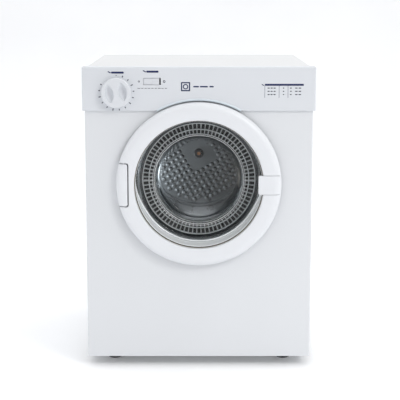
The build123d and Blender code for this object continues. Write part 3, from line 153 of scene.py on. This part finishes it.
def moulded(name, colour, roughness=0.38, grain=900.0, depth=0.1, specular=0.45):
    """Moulded plastic with a fine spark-eroded grain."""
    tree = Tree(name)
    tree.colour(tree.ramp(tree.noise(9.0, 3), tinted(colour, 0.985), colour))
    tree.roughness(tree.spread(tree.noise(60.0, 4), roughness - 0.04, roughness + 0.05))
    tree.set(Specular_IOR_Level=specular)
    soft = tree.bump(tree.noise(grain, 2), depth, 0.0003)
    tree.bump(tree.noise(14.0, 2), 0.015, 0.002, under=soft)
    return tree.material


def laminate(name, colour):
    """Matt board laminate with a dense, very fine speckle."""
    tree = Tree(name)
    tree.colour(tree.ramp(tree.noise(700.0, 3), tinted(colour, 0.94), colour, 0.35, 0.6))
    tree.roughness(tree.spread(tree.noise(90.0, 3), 0.52, 0.68))
    tree.bump(tree.noise(1100.0, 2), 0.15, 0.0003)
    return tree.material


def metal(name, colour, roughness=0.35, grain=(4.0, 240.0, 4.0), spangle=0.0, metallic=1.0):
    """Sheet or turned metal, brushed one way, with handling marks."""
    tree = Tree(name)
    lines = tree.noise(6.0, 4, tree.stretched(grain))
    if spangle:
        cells = tree.add("ShaderNodeTexVoronoi", Scale=spangle)
        tree.link(tree.place, cells.inputs["Vector"])
        tone = tree.add("ShaderNodeRGBToBW")
        tree.link(cells.outputs["Color"], tone.inputs["Color"])
        tree.colour(tree.ramp(tone.outputs["Val"], tinted(colour, 0.82), colour, 0.1, 0.9))
    else:
        tree.colour(tree.ramp(tree.noise(18.0, 4), tinted(colour, 0.86), colour))
    tree.roughness(tree.spread(lines, roughness - 0.1, roughness + 0.14, 0.25, 0.75))
    tree.set(Metallic=metallic)
    tree.bump(lines, 0.12, 0.0003)
    return tree.material


def clear_moulding(name):
    """Clear polycarbonate with the faintest surface waviness."""
    tree = Tree(name)
    tree.set(Transmission_Weight=1.0, IOR=1.49, Roughness=0.0, Specular_Tint=(0.3, 0.3, 0.3, 1))
    tree.colour(tree.ramp(tree.noise(5.0, 2), (0.93, 0.955, 0.96), (0.97, 0.985, 0.985)))
    tree.bump(tree.noise(9.0, 1), 0.02, 0.001)
    return tree.material


def fibrous(name, colour, scale=900.0):
    """Felt or woven cloth: tangled fibres and a soft sheen."""
    tree = Tree(name)
    fibres = tree.noise(scale, 8, roughness=0.7)
    tree.colour(tree.ramp(fibres, tinted(colour, 0.7), colour))
    tree.set(Roughness=0.95, Sheen_Weight=0.3)
    tree.bump(fibres, 0.6, 0.001)
    return tree.material


def mesh_cloth(name, colour, threads=900.0):
    """Fine lint mesh: two crossing sets of threads."""
    tree = Tree(name)
    waves = []
    for direction in ("X", "Z"):
        wave = tree.add("ShaderNodeTexWave", bands_direction=direction, Scale=threads / 6)
        tree.link(tree.place, wave.inputs["Vector"])
        waves.append(wave.outputs["Fac"])
    both = tree.add("ShaderNodeMath", operation="MULTIPLY")
    tree.link(waves[0], both.inputs[0])
    tree.link(waves[1], both.inputs[1])
    tree.colour(tree.ramp(both.outputs[0], tinted(colour, 0.15), colour, 0.1, 0.7))
    tree.set(Roughness=0.7)
    tree.bump(both.outputs[0], 0.4, 0.0004)
    return tree.material


def rubber(name, colour):
    """Rubber with a dusty bloom."""
    tree = Tree(name)
    tree.colour(tree.ramp(tree.noise(30.0, 5), colour, tinted(colour, 1.8)))
    tree.roughness(tree.spread(tree.noise(80.0, 4), 0.6, 0.85))
    tree.bump(tree.noise(500.0, 3), 0.2, 0.0004)
    return tree.material


def ink(name, colour):
    """Screen-printed ink, slightly uneven where the mesh lifted."""
    tree = Tree(name)
    tree.colour(tree.ramp(tree.noise(600.0, 2), colour, tinted(colour, 1.35)))
    tree.set(Roughness=0.55)
    tree.bump(tree.noise(1500.0, 2), 0.1, 0.0001)
    return tree.material


WHITE = (0.735, 0.75, 0.775)
finishes = {
    "white_enamel": painted("white_enamel_paint", WHITE),
    "white_plastic": moulded("white_moulding", (0.70, 0.72, 0.755)),
    "worktop_laminate": laminate("worktop_laminate_board", (0.74, 0.745, 0.75)),
    "clear_plastic": clear_moulding("clear_moulding"),
    "grey_plastic": moulded("grey_moulding", (0.060, 0.065, 0.070), 0.25, 700.0, 0.12, 0.6),
    "filter_plastic": moulded("filter_moulding", (0.56, 0.57, 0.58), 0.28, 700.0, 0.1, 0.7),
    "black_plastic": moulded("black_moulding", (0.012, 0.012, 0.014), 0.4),
    "duct_plastic": moulded("duct_moulding", (0.35, 0.36, 0.37), 0.5),
    "galvanised": metal("galvanised_sheet", (0.55, 0.57, 0.59), 0.42, (3, 3, 3), 55.0),
    "drum_steel": metal("drum_sheet", (0.165, 0.176, 0.186), 0.3, (5.0, 120.0, 5.0), metallic=0.45),
    "bright_steel": metal("bright_steel_bar", (0.68, 0.68, 0.69), 0.22),
    "copper": metal("coppered_screw", (0.38, 0.19, 0.10), 0.3),
    "bearing_bronze": metal("sintered_bronze", (0.48, 0.33, 0.16), 0.5, (3, 3, 3)),
    "motor_steel": metal("motor_iron", (0.22, 0.22, 0.23), 0.5, (3.0, 300.0, 3.0)),
    "capacitor_can": metal("drawn_can", (0.75, 0.75, 0.76), 0.3),
    "element_sheath": metal("oxidised_sheath", (0.12, 0.11, 0.10), 0.55, (3, 3, 3)),
    "thermostat_body": moulded("phenolic_moulding", (0.03, 0.022, 0.018), 0.35),
    "felt": fibrous("pressed_felt", (0.45, 0.43, 0.40)),
    "slide_pad": moulded("slide_pad_nylon", (0.72, 0.70, 0.64), 0.45),
    "rubber": rubber("black_rubber", (0.014, 0.014, 0.015)),
    "filter_cloth": mesh_cloth("filter_cloth_mesh", (0.02, 0.02, 0.022)),
}
door_finish = moulded("door_moulding", (0.775, 0.79, 0.82), 0.36, depth=0.04)
DOOR_NODES = ("door_ring", "door_handle", "hinge_block")
slot_of = {entry["node"]: entry["material_slot"] for entry in frame["record"]["subparts"]}
for node_name, node_object in nodes.items():
    node_object.data.materials.clear()
    finish = finishes[slot_of[node_name]]
    if node_name in DOOR_NODES:
        finish = door_finish
    node_object.data.materials.append(finish)

navy_ink = ink("navy_ink", (0.010, 0.016, 0.075))
grey_ink = ink("grey_ink", (0.045, 0.050, 0.075))
# Near-white: a painted reflection of the window wall's bright lower band.
trim_painted_reflection_finish = moulded("trim_painted_reflection_moulding", (0.92, 0.945, 0.96), 0.12, 600.0, 0.03, 0.9)
# Blue-grey: painted shade of the gap between the facia's arch and the door ring.
arch_painted_shade_finish = moulded("arch_painted_shade_moulding", (0.66, 0.73, 0.78), 0.3)
glue_finish = moulded("glue_line", (0.42, 0.37, 0.29), 0.4)
# Near-white: a painted highlight on the filter's beads and on the clear bowl's rim and parting lines.
painted_highlight_bead_finish = moulded("bead_painted_highlight_moulding", (0.92, 0.93, 0.94), 0.18, 700.0, 0.08, 0.7)


# ---------------------------------------------------------------------------
# Mesh helpers
# ---------------------------------------------------------------------------
def piece(name, geometry, material, body, smooth=False):
    """A finished bmesh as a named piece that rides on a body."""
    mesh = bpy.data.meshes.new(name)
    geometry.to_mesh(mesh)
    geometry.free()
    mesh.materials.append(material)
    if smooth:
        mesh.shade_smooth()
    made = bpy.data.objects.new(name, mesh)
    bpy.context.collection.objects.link(made)
    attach(made, body)
    return made


INK = 0.00012                   # thickness of a print
SUNK = 0.00003                  # how far a print's back sits in the surface


def add_outline(geometry, points):
    """A thin raised print with the given outline, as (x, z) points."""
    faces = []
    for depth in (FACIA_FRONT + SUNK, FACIA_FRONT - INK):
        faces.append([geometry.verts.new((x, depth, z)) for x, z in points])
    count = len(points)
    geometry.faces.new(faces[1])
    geometry.faces.new(list(reversed(faces[0])))
    for i in range(count):
        j = (i + 1) % count
        geometry.faces.new((faces[1][i], faces[0][i], faces[0][j], faces[1][j]))


def bar_points(x, z, width, height, turn=0.0, bevel=0.25):
    """A bar's outline with cut corners, turned about its middle."""
    cut = bevel * min(width, height)
    half_width = width / 2
    half_height = height / 2
    corners = [(half_width - cut, -half_height), (half_width, cut - half_height),
               (half_width, half_height - cut), (half_width - cut, half_height)]
    corners += [(-u, -v) for u, v in corners]
    return [(x + u * cos(turn) - v * sin(turn), z + u * sin(turn) + v * cos(turn))
            for u, v in corners]


def ring_points(x, z, radius, count=28, start=0.0):
    return [(x + radius * cos(start + 2 * pi * i / count), z + radius * sin(start + 2 * pi * i / count))
            for i in range(count)]


def add_ring(geometry, x, z, outer, inner, count=36):
    """A flat printed ring, as a strip of quads with thickness."""
    rims = {}
    for radius in (outer, inner):
        for depth in (FACIA_FRONT + SUNK, FACIA_FRONT - INK):
            rims[radius, depth] = [geometry.verts.new((u, depth, v))
                                   for u, v in ring_points(x, z, radius, count)]
    back, front = FACIA_FRONT + SUNK, FACIA_FRONT - INK
    strips = ((rims[outer, front], rims[inner, front]), (rims[inner, back], rims[outer, back]),
              (rims[outer, back], rims[outer, front]), (rims[inner, front], rims[inner, back]))
    for first, second in strips:
        for i in range(count):
            j = (i + 1) % count
            geometry.faces.new((first[i], second[i], second[j], first[j]))
    bmesh.ops.recalc_face_normals(geometry, faces=geometry.faces)


# ---------------------------------------------------------------------------
# Prints on the facia
# ---------------------------------------------------------------------------
DIAL_MARKS = 15
DIAL_STEP = radians(21.3)
DIAL_RADIUS = KNOB_RADIUS + 0.0048
OFF_DOT_RADIUS = 0.0011
LONG_MARK = 0.0050
SHORT_MARK = 0.0038
MARK_WIDTH = 0.0021


def dial_marks():
    """Fifteen marks clockwise from the off dot at the top."""
    geometry = bmesh.new()
    for index in range(DIAL_MARKS):
        angle = pi / 2 - index * DIAL_STEP
        x = KNOB.x + DIAL_RADIUS * cos(angle)
        z = KNOB.z + DIAL_RADIUS * sin(angle)
        if index == 0:
            add_outline(geometry, ring_points(x, z, OFF_DOT_RADIUS, 12))
        else:
            length = LONG_MARK if index % 3 == 0 else SHORT_MARK
            add_outline(geometry, bar_points(x, z, length, MARK_WIDTH, angle))
    piece("dial_marks", geometry, grey_ink, "cabinet")


HEADINGS = ((-0.1735, 0.6500, 0.027), (-0.099, 0.6520, 0.026))     # x, z and width
HEADING_HEIGHT = 0.0042
LEADER_TURN = -0.5


def headings():
    """A navy heading over the timer and one over the heat switch, each with a slanting leader."""
    geometry = bmesh.new()
    for x, z, width in HEADINGS:
        add_outline(geometry, bar_points(x, z, width, HEADING_HEIGHT))
        leader = x - width / 2 - 0.0040
        add_outline(geometry, bar_points(leader, z + 0.0008, 0.007, 0.0022, LEADER_TURN))
    piece("heading_bars", geometry, navy_ink, "cabinet")


HEAT_RINGS = ((-0.028, 0.0021), (0.026, 0.0027))    # x from the switch, and radius
CAPTION_DASHES = 9
CAPTION_PITCH = 0.0072
CAPTION_DROP = 0.0145


def heat_symbols():
    """A small ring for low heat and a larger one for high, over a dashed caption line."""
    geometry = bmesh.new()
    for offset, radius in HEAT_RINGS:
        add_ring(geometry, ROCKER.x + offset, ROCKER.z, radius, radius * 0.45, 16)
    for dash in range(CAPTION_DASHES):
        x = ROCKER.x + HEAT_RINGS[0][0] + dash * CAPTION_PITCH
        length = 0.0048 if dash % 3 else 0.0062
        add_outline(geometry, bar_points(x, ROCKER.z - CAPTION_DROP, length, 0.0011))
    piece("heat_symbols", geometry, grey_ink, "cabinet")


BADGE_X = -0.0285
BADGE_Z = 0.6200
BADGE_HALF = 0.0085
BADGE_STROKE = 0.0026
BADGE_DASHES = (0.012, 0.017, 0.009)
BADGE_DASH_START = -0.006
BADGE_DASH_PITCH = 0.0165


def drying_badge():
    """The generic drying symbol, a circle in a square, with three plain dashes beside it."""
    geometry = bmesh.new()
    for turn in range(4):
        angle = turn * pi / 2
        x = BADGE_X + BADGE_HALF * cos(angle)
        z = BADGE_Z + BADGE_HALF * sin(angle)
        side = 2 * BADGE_HALF + BADGE_STROKE
        add_outline(geometry, bar_points(x, z, BADGE_STROKE, side, angle, 0.4))
    add_ring(geometry, BADGE_X, BADGE_Z, 0.0058, 0.0036)
    for index, width in enumerate(BADGE_DASHES):
        x = BADGE_DASH_START + index * BADGE_DASH_PITCH
        add_outline(geometry, bar_points(x, BADGE_Z, width, 0.0030))
    piece("drying_badge", geometry, navy_ink, "cabinet")


GUIDE_X = 0.182
GUIDE_TOP = 0.6240
GUIDE_WIDTH = 0.083
GUIDE_RULES = (0.1405, 0.171, 0.190)
GUIDE_COLUMNS = ((0.155, 0.019, 3), (0.1805, 0.004, 1), (0.196, 0.005, 1), (0.2115, 0.015, 2))
GUIDE_ROWS = 3
GUIDE_FIRST_ROW = 0.6170
GUIDE_ROW_PITCH = 0.0069


def guide_table():
    """A drying guide: a navy heading, column rules and rows of short dashes."""
    geometry = bmesh.new()
    add_outline(geometry, bar_points(GUIDE_X, GUIDE_TOP, GUIDE_WIDTH, HEADING_HEIGHT, bevel=0.1))
    add_outline(geometry, bar_points(0.1365, GUIDE_TOP - 0.0004, 0.006, 0.0018, LEADER_TURN))
    for x in GUIDE_RULES:
        add_outline(geometry, bar_points(x, GUIDE_TOP - 0.0150, 0.0007, 0.026))
    piece("guide_heading", geometry, navy_ink, "cabinet")
    geometry = bmesh.new()
    for row in range(GUIDE_ROWS):
        z = GUIDE_FIRST_ROW - row * GUIDE_ROW_PITCH
        for column, width, count in GUIDE_COLUMNS:
            step = width / count
            for part in range(count):
                x = column - width / 2 + (part + 0.5) * step
                add_outline(geometry, bar_points(x, z, step * 0.72, 0.0021))
    piece("guide_rows", geometry, grey_ink, "cabinet")


# ---------------------------------------------------------------------------
# Drum back: pressed dimples on a square grid
# ---------------------------------------------------------------------------
DIMPLE_PITCH = 0.0137
DIMPLE_RADIUS = 0.0054
DIMPLE_HEIGHT = 0.0038
DIMPLE_RINGS = ((1.12, 0.0), (0.98, 0.25), (0.80, 0.62), (0.5, 0.9))    # spread and lift
DIMPLE_SIDES = 14
DIMPLE_FOOT = DRUM_BACK_FACE + 0.0004
DIMPLE_FIELD = 0.1195
HUB_PLAIN = 0.036
DIMPLE_TURN = radians(30)


def add_dimple(geometry, x, z):
    """One closed dome, pressed forward from the drum's back."""
    loops = []
    for spread, lift in DIMPLE_RINGS:
        depth = DIMPLE_FOOT - lift * DIMPLE_HEIGHT
        loops.append([geometry.verts.new((px, depth, pz))
                      for px, pz in ring_points(x, z, DIMPLE_RADIUS * spread, DIMPLE_SIDES)])
    top = geometry.verts.new((x, DIMPLE_FOOT - DIMPLE_HEIGHT, z))
    base = geometry.verts.new((x, DIMPLE_FOOT, z))
    for lower, upper in zip(loops, loops[1:]):
        for i in range(DIMPLE_SIDES):
            j = (i + 1) % DIMPLE_SIDES
            geometry.faces.new((lower[i], upper[i], upper[j], lower[j]))
    for i in range(DIMPLE_SIDES):
        j = (i + 1) % DIMPLE_SIDES
        geometry.faces.new((loops[-1][i], top, loops[-1][j]))
        geometry.faces.new((loops[0][j], base, loops[0][i]))


def drum_dimples():
    """Rows of domes on the drum's back, with a plain square at the hub."""
    geometry = bmesh.new()
    reach = int(DIMPLE_FIELD / DIMPLE_PITCH) + 1
    for column in range(-reach, reach + 1):
        for row in range(-reach, reach + 1):
            u = column * DIMPLE_PITCH
            v = row * DIMPLE_PITCH
            if max(abs(u), abs(v)) < HUB_PLAIN or sqrt(u * u + v * v) > DIMPLE_FIELD:
                continue
            add_dimple(geometry, DRUM.x + u * cos(DIMPLE_TURN) - v * sin(DIMPLE_TURN),
                       DRUM.z + u * sin(DIMPLE_TURN) + v * cos(DIMPLE_TURN))
    bmesh.ops.recalc_face_normals(geometry, faces=geometry.faces)
    piece("drum_dimples", geometry, finishes["drum_steel"], "drum", smooth=True)


# ---------------------------------------------------------------------------
# Lint filter and door window details
# ---------------------------------------------------------------------------
FILTER_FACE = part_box("filter_frame")[0][1]
FLOOR_FACE = FILTER_FACE - 0.014        # front of the window bowl's flat floor
FILTER_BEADS = ((0.0998, 0.0011), (0.1108, 0.0011), (0.1247, 0.0012))   # radius and size


def turned(geometry, profile, around=180, start=0.0, sweep=2 * pi):
    """Turn a closed (depth, radius) profile about the door's axis."""
    closed = sweep >= 2 * pi
    sections = around if closed else around + 1
    loops = []
    for index in range(sections):
        angle = start + sweep * index / around
        loops.append([geometry.verts.new((DOOR.x + radius * cos(angle), depth,
                                          DOOR.z + radius * sin(angle)))
                      for depth, radius in profile])
    count = len(profile)
    for index in range(around):
        near = loops[index]
        far = loops[(index + 1) % sections]
        for i in range(count):
            j = (i + 1) % count
            geometry.faces.new((near[i], near[j], far[j], far[i]))


def bead_profile(depth, radius, size, sides=8):
    return [(depth + size * cos(2 * pi * k / sides), radius + size * sin(2 * pi * k / sides))
            for k in range(sides)]


def filter_beads():
    """Raised round beads either side of each row of windows, near-white as a painted highlight on the
    grey filter.
    """
    geometry = bmesh.new()
    for radius, size in FILTER_BEADS:
        turned(geometry, bead_profile(FILTER_FACE, radius, size))
    bmesh.ops.recalc_face_normals(geometry, faces=geometry.faces)
    piece("filter_beads", geometry, painted_highlight_bead_finish, "filter", smooth=True)


def filter_rim_painted_shade():
    """A dark flat ring between the outer bead and the filter's rim, laid as painted shade over the
    filter's outer annulus.
    """
    geometry = bmesh.new()
    turned(geometry, [(FILTER_FACE + 0.0002, 0.1258), (FILTER_FACE - 0.0007, 0.1264),
                      (FILTER_FACE - 0.0007, 0.1336), (FILTER_FACE + 0.0002, 0.1342)])
    bmesh.ops.recalc_face_normals(geometry, faces=geometry.faces)
    piece("filter_rim_painted_shade", geometry, finishes["grey_plastic"], "filter")


WALL_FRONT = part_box("door_window")[0][1]
WALL_MOUTH = 0.1375             # inner radius of the window's wall at its front
WALL_TAPER = 0.0037 / 0.061     # how much it narrows for each metre of depth
TRIM_DEPTH = 0.040
TRIM_GAP = 0.0001
TRIM_BEAD = 0.0021
TRIM_THINNEST = 0.12            # share of its depth that the trim keeps round the top
GLUE_RADIUS = 0.1388


def wall(depth):
    """The window wall's inner radius at a depth behind its front."""
    return WALL_MOUTH - WALL_TAPER * depth


def trim_reach(up, radius):
    """How much of its depth the trim has: all at the bottom, little round the top, so that the painted
    reflection lies along the bottom of the wall.
    """
    lowness = min(max((-up / radius + 0.15) / 0.7, 0.0), 1.0)
    return TRIM_THINNEST + (1 - TRIM_THINNEST) * lowness * lowness * (3 - 2 * lowness)


def window_painted_reflection():
    """A pale trim that lines the window's wall, with a bead along its inner edge: a painted reflection
    of the glass wall's bright lower band.
    """
    line = [(0.0022, -0.0001), (0.0026, -0.0007), (0.0036, -0.0010)]
    line += [(depth, -0.0010) for depth in (0.010, 0.018, 0.026, 0.034)]
    line += [(TRIM_DEPTH, -0.0010), (TRIM_DEPTH, -0.0001)]
    geometry = bmesh.new()
    turned(geometry, [(WALL_FRONT + depth, wall(depth) + proud) for depth, proud in line])
    turned(geometry, bead_profile(WALL_FRONT + TRIM_DEPTH, wall(TRIM_DEPTH) - TRIM_BEAD - TRIM_GAP,
                                  TRIM_BEAD, 12))
    for vert in geometry.verts:
        across = vert.co.x - DOOR.x
        up = vert.co.z - DOOR.z
        radius = sqrt(across * across + up * up)
        reach = trim_reach(up, radius)
        depth = vert.co.y - WALL_FRONT
        proud = (wall(depth) - TRIM_GAP - radius) * reach
        stretch = (wall(depth * reach) - TRIM_GAP - proud) / radius
        vert.co = (DOOR.x + across * stretch, WALL_FRONT + depth * reach, DOOR.z + up * stretch)
    bmesh.ops.recalc_face_normals(geometry, faces=geometry.faces)
    piece("window_painted_reflection", geometry, trim_painted_reflection_finish, "door", smooth=True)


def window_glue_line():
    """The thin line of adhesive between the window's flange and the door ring."""
    geometry = bmesh.new()
    turned(geometry, bead_profile(WALL_FRONT - 0.0001, GLUE_RADIUS, 0.0004))
    bmesh.ops.recalc_face_normals(geometry, faces=geometry.faces)
    piece("window_glue_line", geometry, glue_finish, "door", smooth=True)


ARCH_RADIUS = 0.185
ARCH_HALF_SWEEP = radians(29.5)


def arch_trim():
    """A rolled lip that edges the facia's arch above the door, coloured blue-grey as painted shade of
    the gap over the door ring.
    """
    profile = [(FACIA_FRONT + 0.0001, ARCH_RADIUS + 0.0006), (FACIA_FRONT - 0.0012, 0.1842),
               (FACIA_FRONT - 0.0017, 0.1828), (FACIA_FRONT - 0.0012, 0.1814),
               (FACIA_FRONT + 0.0002, 0.1808), (FACIA_FRONT + 0.0020, 0.1808),
               (FACIA_FRONT + 0.0020, ARCH_RADIUS + 0.0002)]
    geometry = bmesh.new()
    turned(geometry, profile, 60, pi / 2 - ARCH_HALF_SWEEP, 2 * ARCH_HALF_SWEEP)
    geometry.faces.new(geometry.verts[:len(profile)])
    geometry.faces.new(geometry.verts[-len(profile):])
    bmesh.ops.recalc_face_normals(geometry, faces=geometry.faces)
    piece("arch_trim", geometry, arch_painted_shade_finish, "cabinet")


def bowl_rim():
    """Pale beads where the bowl's floor turns into the cup: a painted highlight on the clear bowl's
    edges.
    """
    geometry = bmesh.new()
    for radius, size in ((0.0990, 0.0007), (0.1026, 0.0004)):
        turned(geometry, bead_profile(FLOOR_FACE, radius, size))
    bmesh.ops.recalc_face_normals(geometry, faces=geometry.faces)
    piece("window_bowl_rim", geometry, painted_highlight_bead_finish, "door", smooth=True)


def parting_lines():
    """The fine raised moulding lines across the bowl's floor at each side, pale as a painted highlight
    on the clear moulding.
    """
    geometry = bmesh.new()
    inner_end = 0.1006
    outer_end = 0.1222
    for side in (-1, 1):
        corners = [geometry.verts.new((DOOR.x + x, depth, DOOR.z + z))
                   for x in sorted((side * inner_end, side * outer_end))
                   for depth in (FLOOR_FACE - 0.0003, FLOOR_FACE + 0.0001)
                   for z in (-0.0004, 0.0004)]
        for face in ((0, 1, 3, 2), (4, 5, 7, 6), (0, 1, 5, 4), (2, 3, 7, 6), (0, 2, 6, 4),
                     (1, 3, 7, 5)):
            geometry.faces.new([corners[i] for i in face])
    bmesh.ops.recalc_face_normals(geometry, faces=geometry.faces)
    piece("window_parting_lines", geometry, painted_highlight_bead_finish, "door")


dial_marks()
headings()
heat_symbols()
drying_badge()
guide_table()
window_painted_reflection()
window_glue_line()
arch_trim()
bowl_rim()
parting_lines()
filter_beads()
filter_rim_painted_shade()
drum_dimples()


# ---------------------------------------------------------------------------
# Floor, light and camera
# ---------------------------------------------------------------------------
SWEEP_HALF_WIDTH = 6.0
SWEEP_FRONT = -5.0
CURVE_START = 2.5
CURVE_RADIUS = 1.5
CURVE_STEPS = 12
SWEEP_TOP = 6.0


def stage_floor():
    """A pale seamless sweep: floor, curve and back wall in one sheet."""
    tree = Tree("studio_paper")
    tree.colour(tree.ramp(tree.noise(2.0, 2), (0.90, 0.905, 0.92), (0.94, 0.945, 0.955)))
    tree.set(Roughness=0.9, Emission_Color=(1, 1, 1, 1), Emission_Strength=0.12)
    tree.bump(tree.noise(200.0, 2), 0.05, 0.001)
    geometry = bmesh.new()
    rows = [(SWEEP_FRONT, 0.0), (CURVE_START, 0.0)]
    for step in range(1, CURVE_STEPS + 1):
        angle = radians(90 * step / CURVE_STEPS)
        rows.append((CURVE_START + CURVE_RADIUS * sin(angle), CURVE_RADIUS * (1 - cos(angle))))
    rows.append((CURVE_START + CURVE_RADIUS, SWEEP_TOP))
    lines = [[geometry.verts.new((side * SWEEP_HALF_WIDTH, y, z)) for side in (-1, 1)]
             for y, z in rows]
    for low, high in zip(lines, lines[1:]):
        geometry.faces.new((low[0], low[1], high[1], high[0]))
    mesh = bpy.data.meshes.new("studio_sweep")
    geometry.to_mesh(mesh)
    geometry.free()
    mesh.materials.append(tree.material)
    mesh.shade_smooth()
    sweep = bpy.data.objects.new("studio_sweep", mesh)
    bpy.context.collection.objects.link(sweep)


def area_light(name, place, target, size, power, colour=(1, 1, 1)):
    data = bpy.data.lights.new(name, "AREA")
    data.shape = "RECTANGLE"
    data.size, data.size_y = size
    data.energy = power
    data.color = colour
    light = bpy.data.objects.new(name, data)
    light.location = place
    light.rotation_euler = (Vector(target) - Vector(place)).to_track_quat("-Z", "Y").to_euler()
    light.visible_camera = False
    light.visible_transmission = False
    bpy.context.collection.objects.link(light)


stage_floor()
area_light("key_softbox", (2.0, -2.3, 2.4), (0, 0, 0.35), (1.0, 1.0), 30, (1, 0.99, 0.97))
area_light("top_softbox", (0, 0.6, 3.0), (0, 0, 0.6), (2.5, 2.0), 10)
drum_back_middle = (DRUM.x, DRUM_BACK_FACE, DRUM.z - 0.06)
area_light("drum_left", (-0.17, DRUM_BACK_FACE - 0.07, DRUM.z - 0.05), drum_back_middle,
           (0.05, 0.05), 0.34, (0.92, 0.97, 1))
area_light("drum_right", (0.17, DRUM_BACK_FACE - 0.07, DRUM.z - 0.08), drum_back_middle,
           (0.05, 0.05), 0.06, (1, 0.90, 0.78))
area_light("drum_low", (0.0, DRUM_BACK_FACE - 0.10, DRUM.z - 0.19), drum_back_middle,
           (0.08, 0.04), 0.05)

SKY_STRENGTH = 1.05
SPOT_INNER = radians(26)        # half angle of the darkest part of the sky behind the camera
SPOT_OUTER = radians(42)
SPOT_SHARE = 0.05


def studio_sky():
    """An even pale sky, dark only behind the camera so that the window reflects little of it."""
    world = bpy.data.worlds.new("studio")
    bpy.context.scene.world = world
    world.use_nodes = True
    sky = world.node_tree
    behind_camera = sky.nodes.new("ShaderNodeVectorMath")
    behind_camera.operation = "DOT_PRODUCT"
    behind_camera.inputs[1].default_value = (0, -1, 0)
    direction = sky.nodes.new("ShaderNodeTexCoord").outputs["Generated"]
    sky.links.new(direction, behind_camera.inputs[0])
    dark_spot = sky.nodes.new("ShaderNodeMapRange")
    dark_spot.interpolation_type = "SMOOTHSTEP"
    dark_spot.inputs["From Min"].default_value = cos(SPOT_OUTER)
    dark_spot.inputs["From Max"].default_value = cos(SPOT_INNER)
    dark_spot.inputs["To Min"].default_value = SKY_STRENGTH
    dark_spot.inputs["To Max"].default_value = SKY_STRENGTH * SPOT_SHARE
    sky.links.new(behind_camera.outputs["Value"], dark_spot.inputs["Value"])
    backdrop = sky.nodes.new("ShaderNodeMath")
    backdrop.operation = "MAXIMUM"
    seen_directly = sky.nodes.new("ShaderNodeLightPath").outputs["Is Camera Ray"]
    sky.links.new(dark_spot.outputs["Result"], backdrop.inputs[0])
    sky.links.new(seen_directly, backdrop.inputs[1])
    sky.links.new(backdrop.outputs["Value"], sky.nodes["Background"].inputs["Strength"])
    sky.nodes["Background"].inputs["Color"].default_value = (0.985, 0.992, 1.0, 1)


studio_sky()
bpy.context.scene.view_settings.view_transform = "Standard"
bpy.context.scene.view_settings.look = "None"

camera_data = bpy.data.cameras.new("camera")
camera_data.sensor_width = 36.0
camera_data.lens = 97.4
camera_data.shift_x = 0.0043
camera_data.shift_y = -0.13
camera_data.dof.use_dof = False
camera = bpy.data.objects.new("camera", camera_data)
camera.location = (-0.0014, -2.534, 0.818)
camera.rotation_euler = (radians(90) - 0.1424, 0, 0)
bpy.context.collection.objects.link(camera)
bpy.context.scene.camera = camera
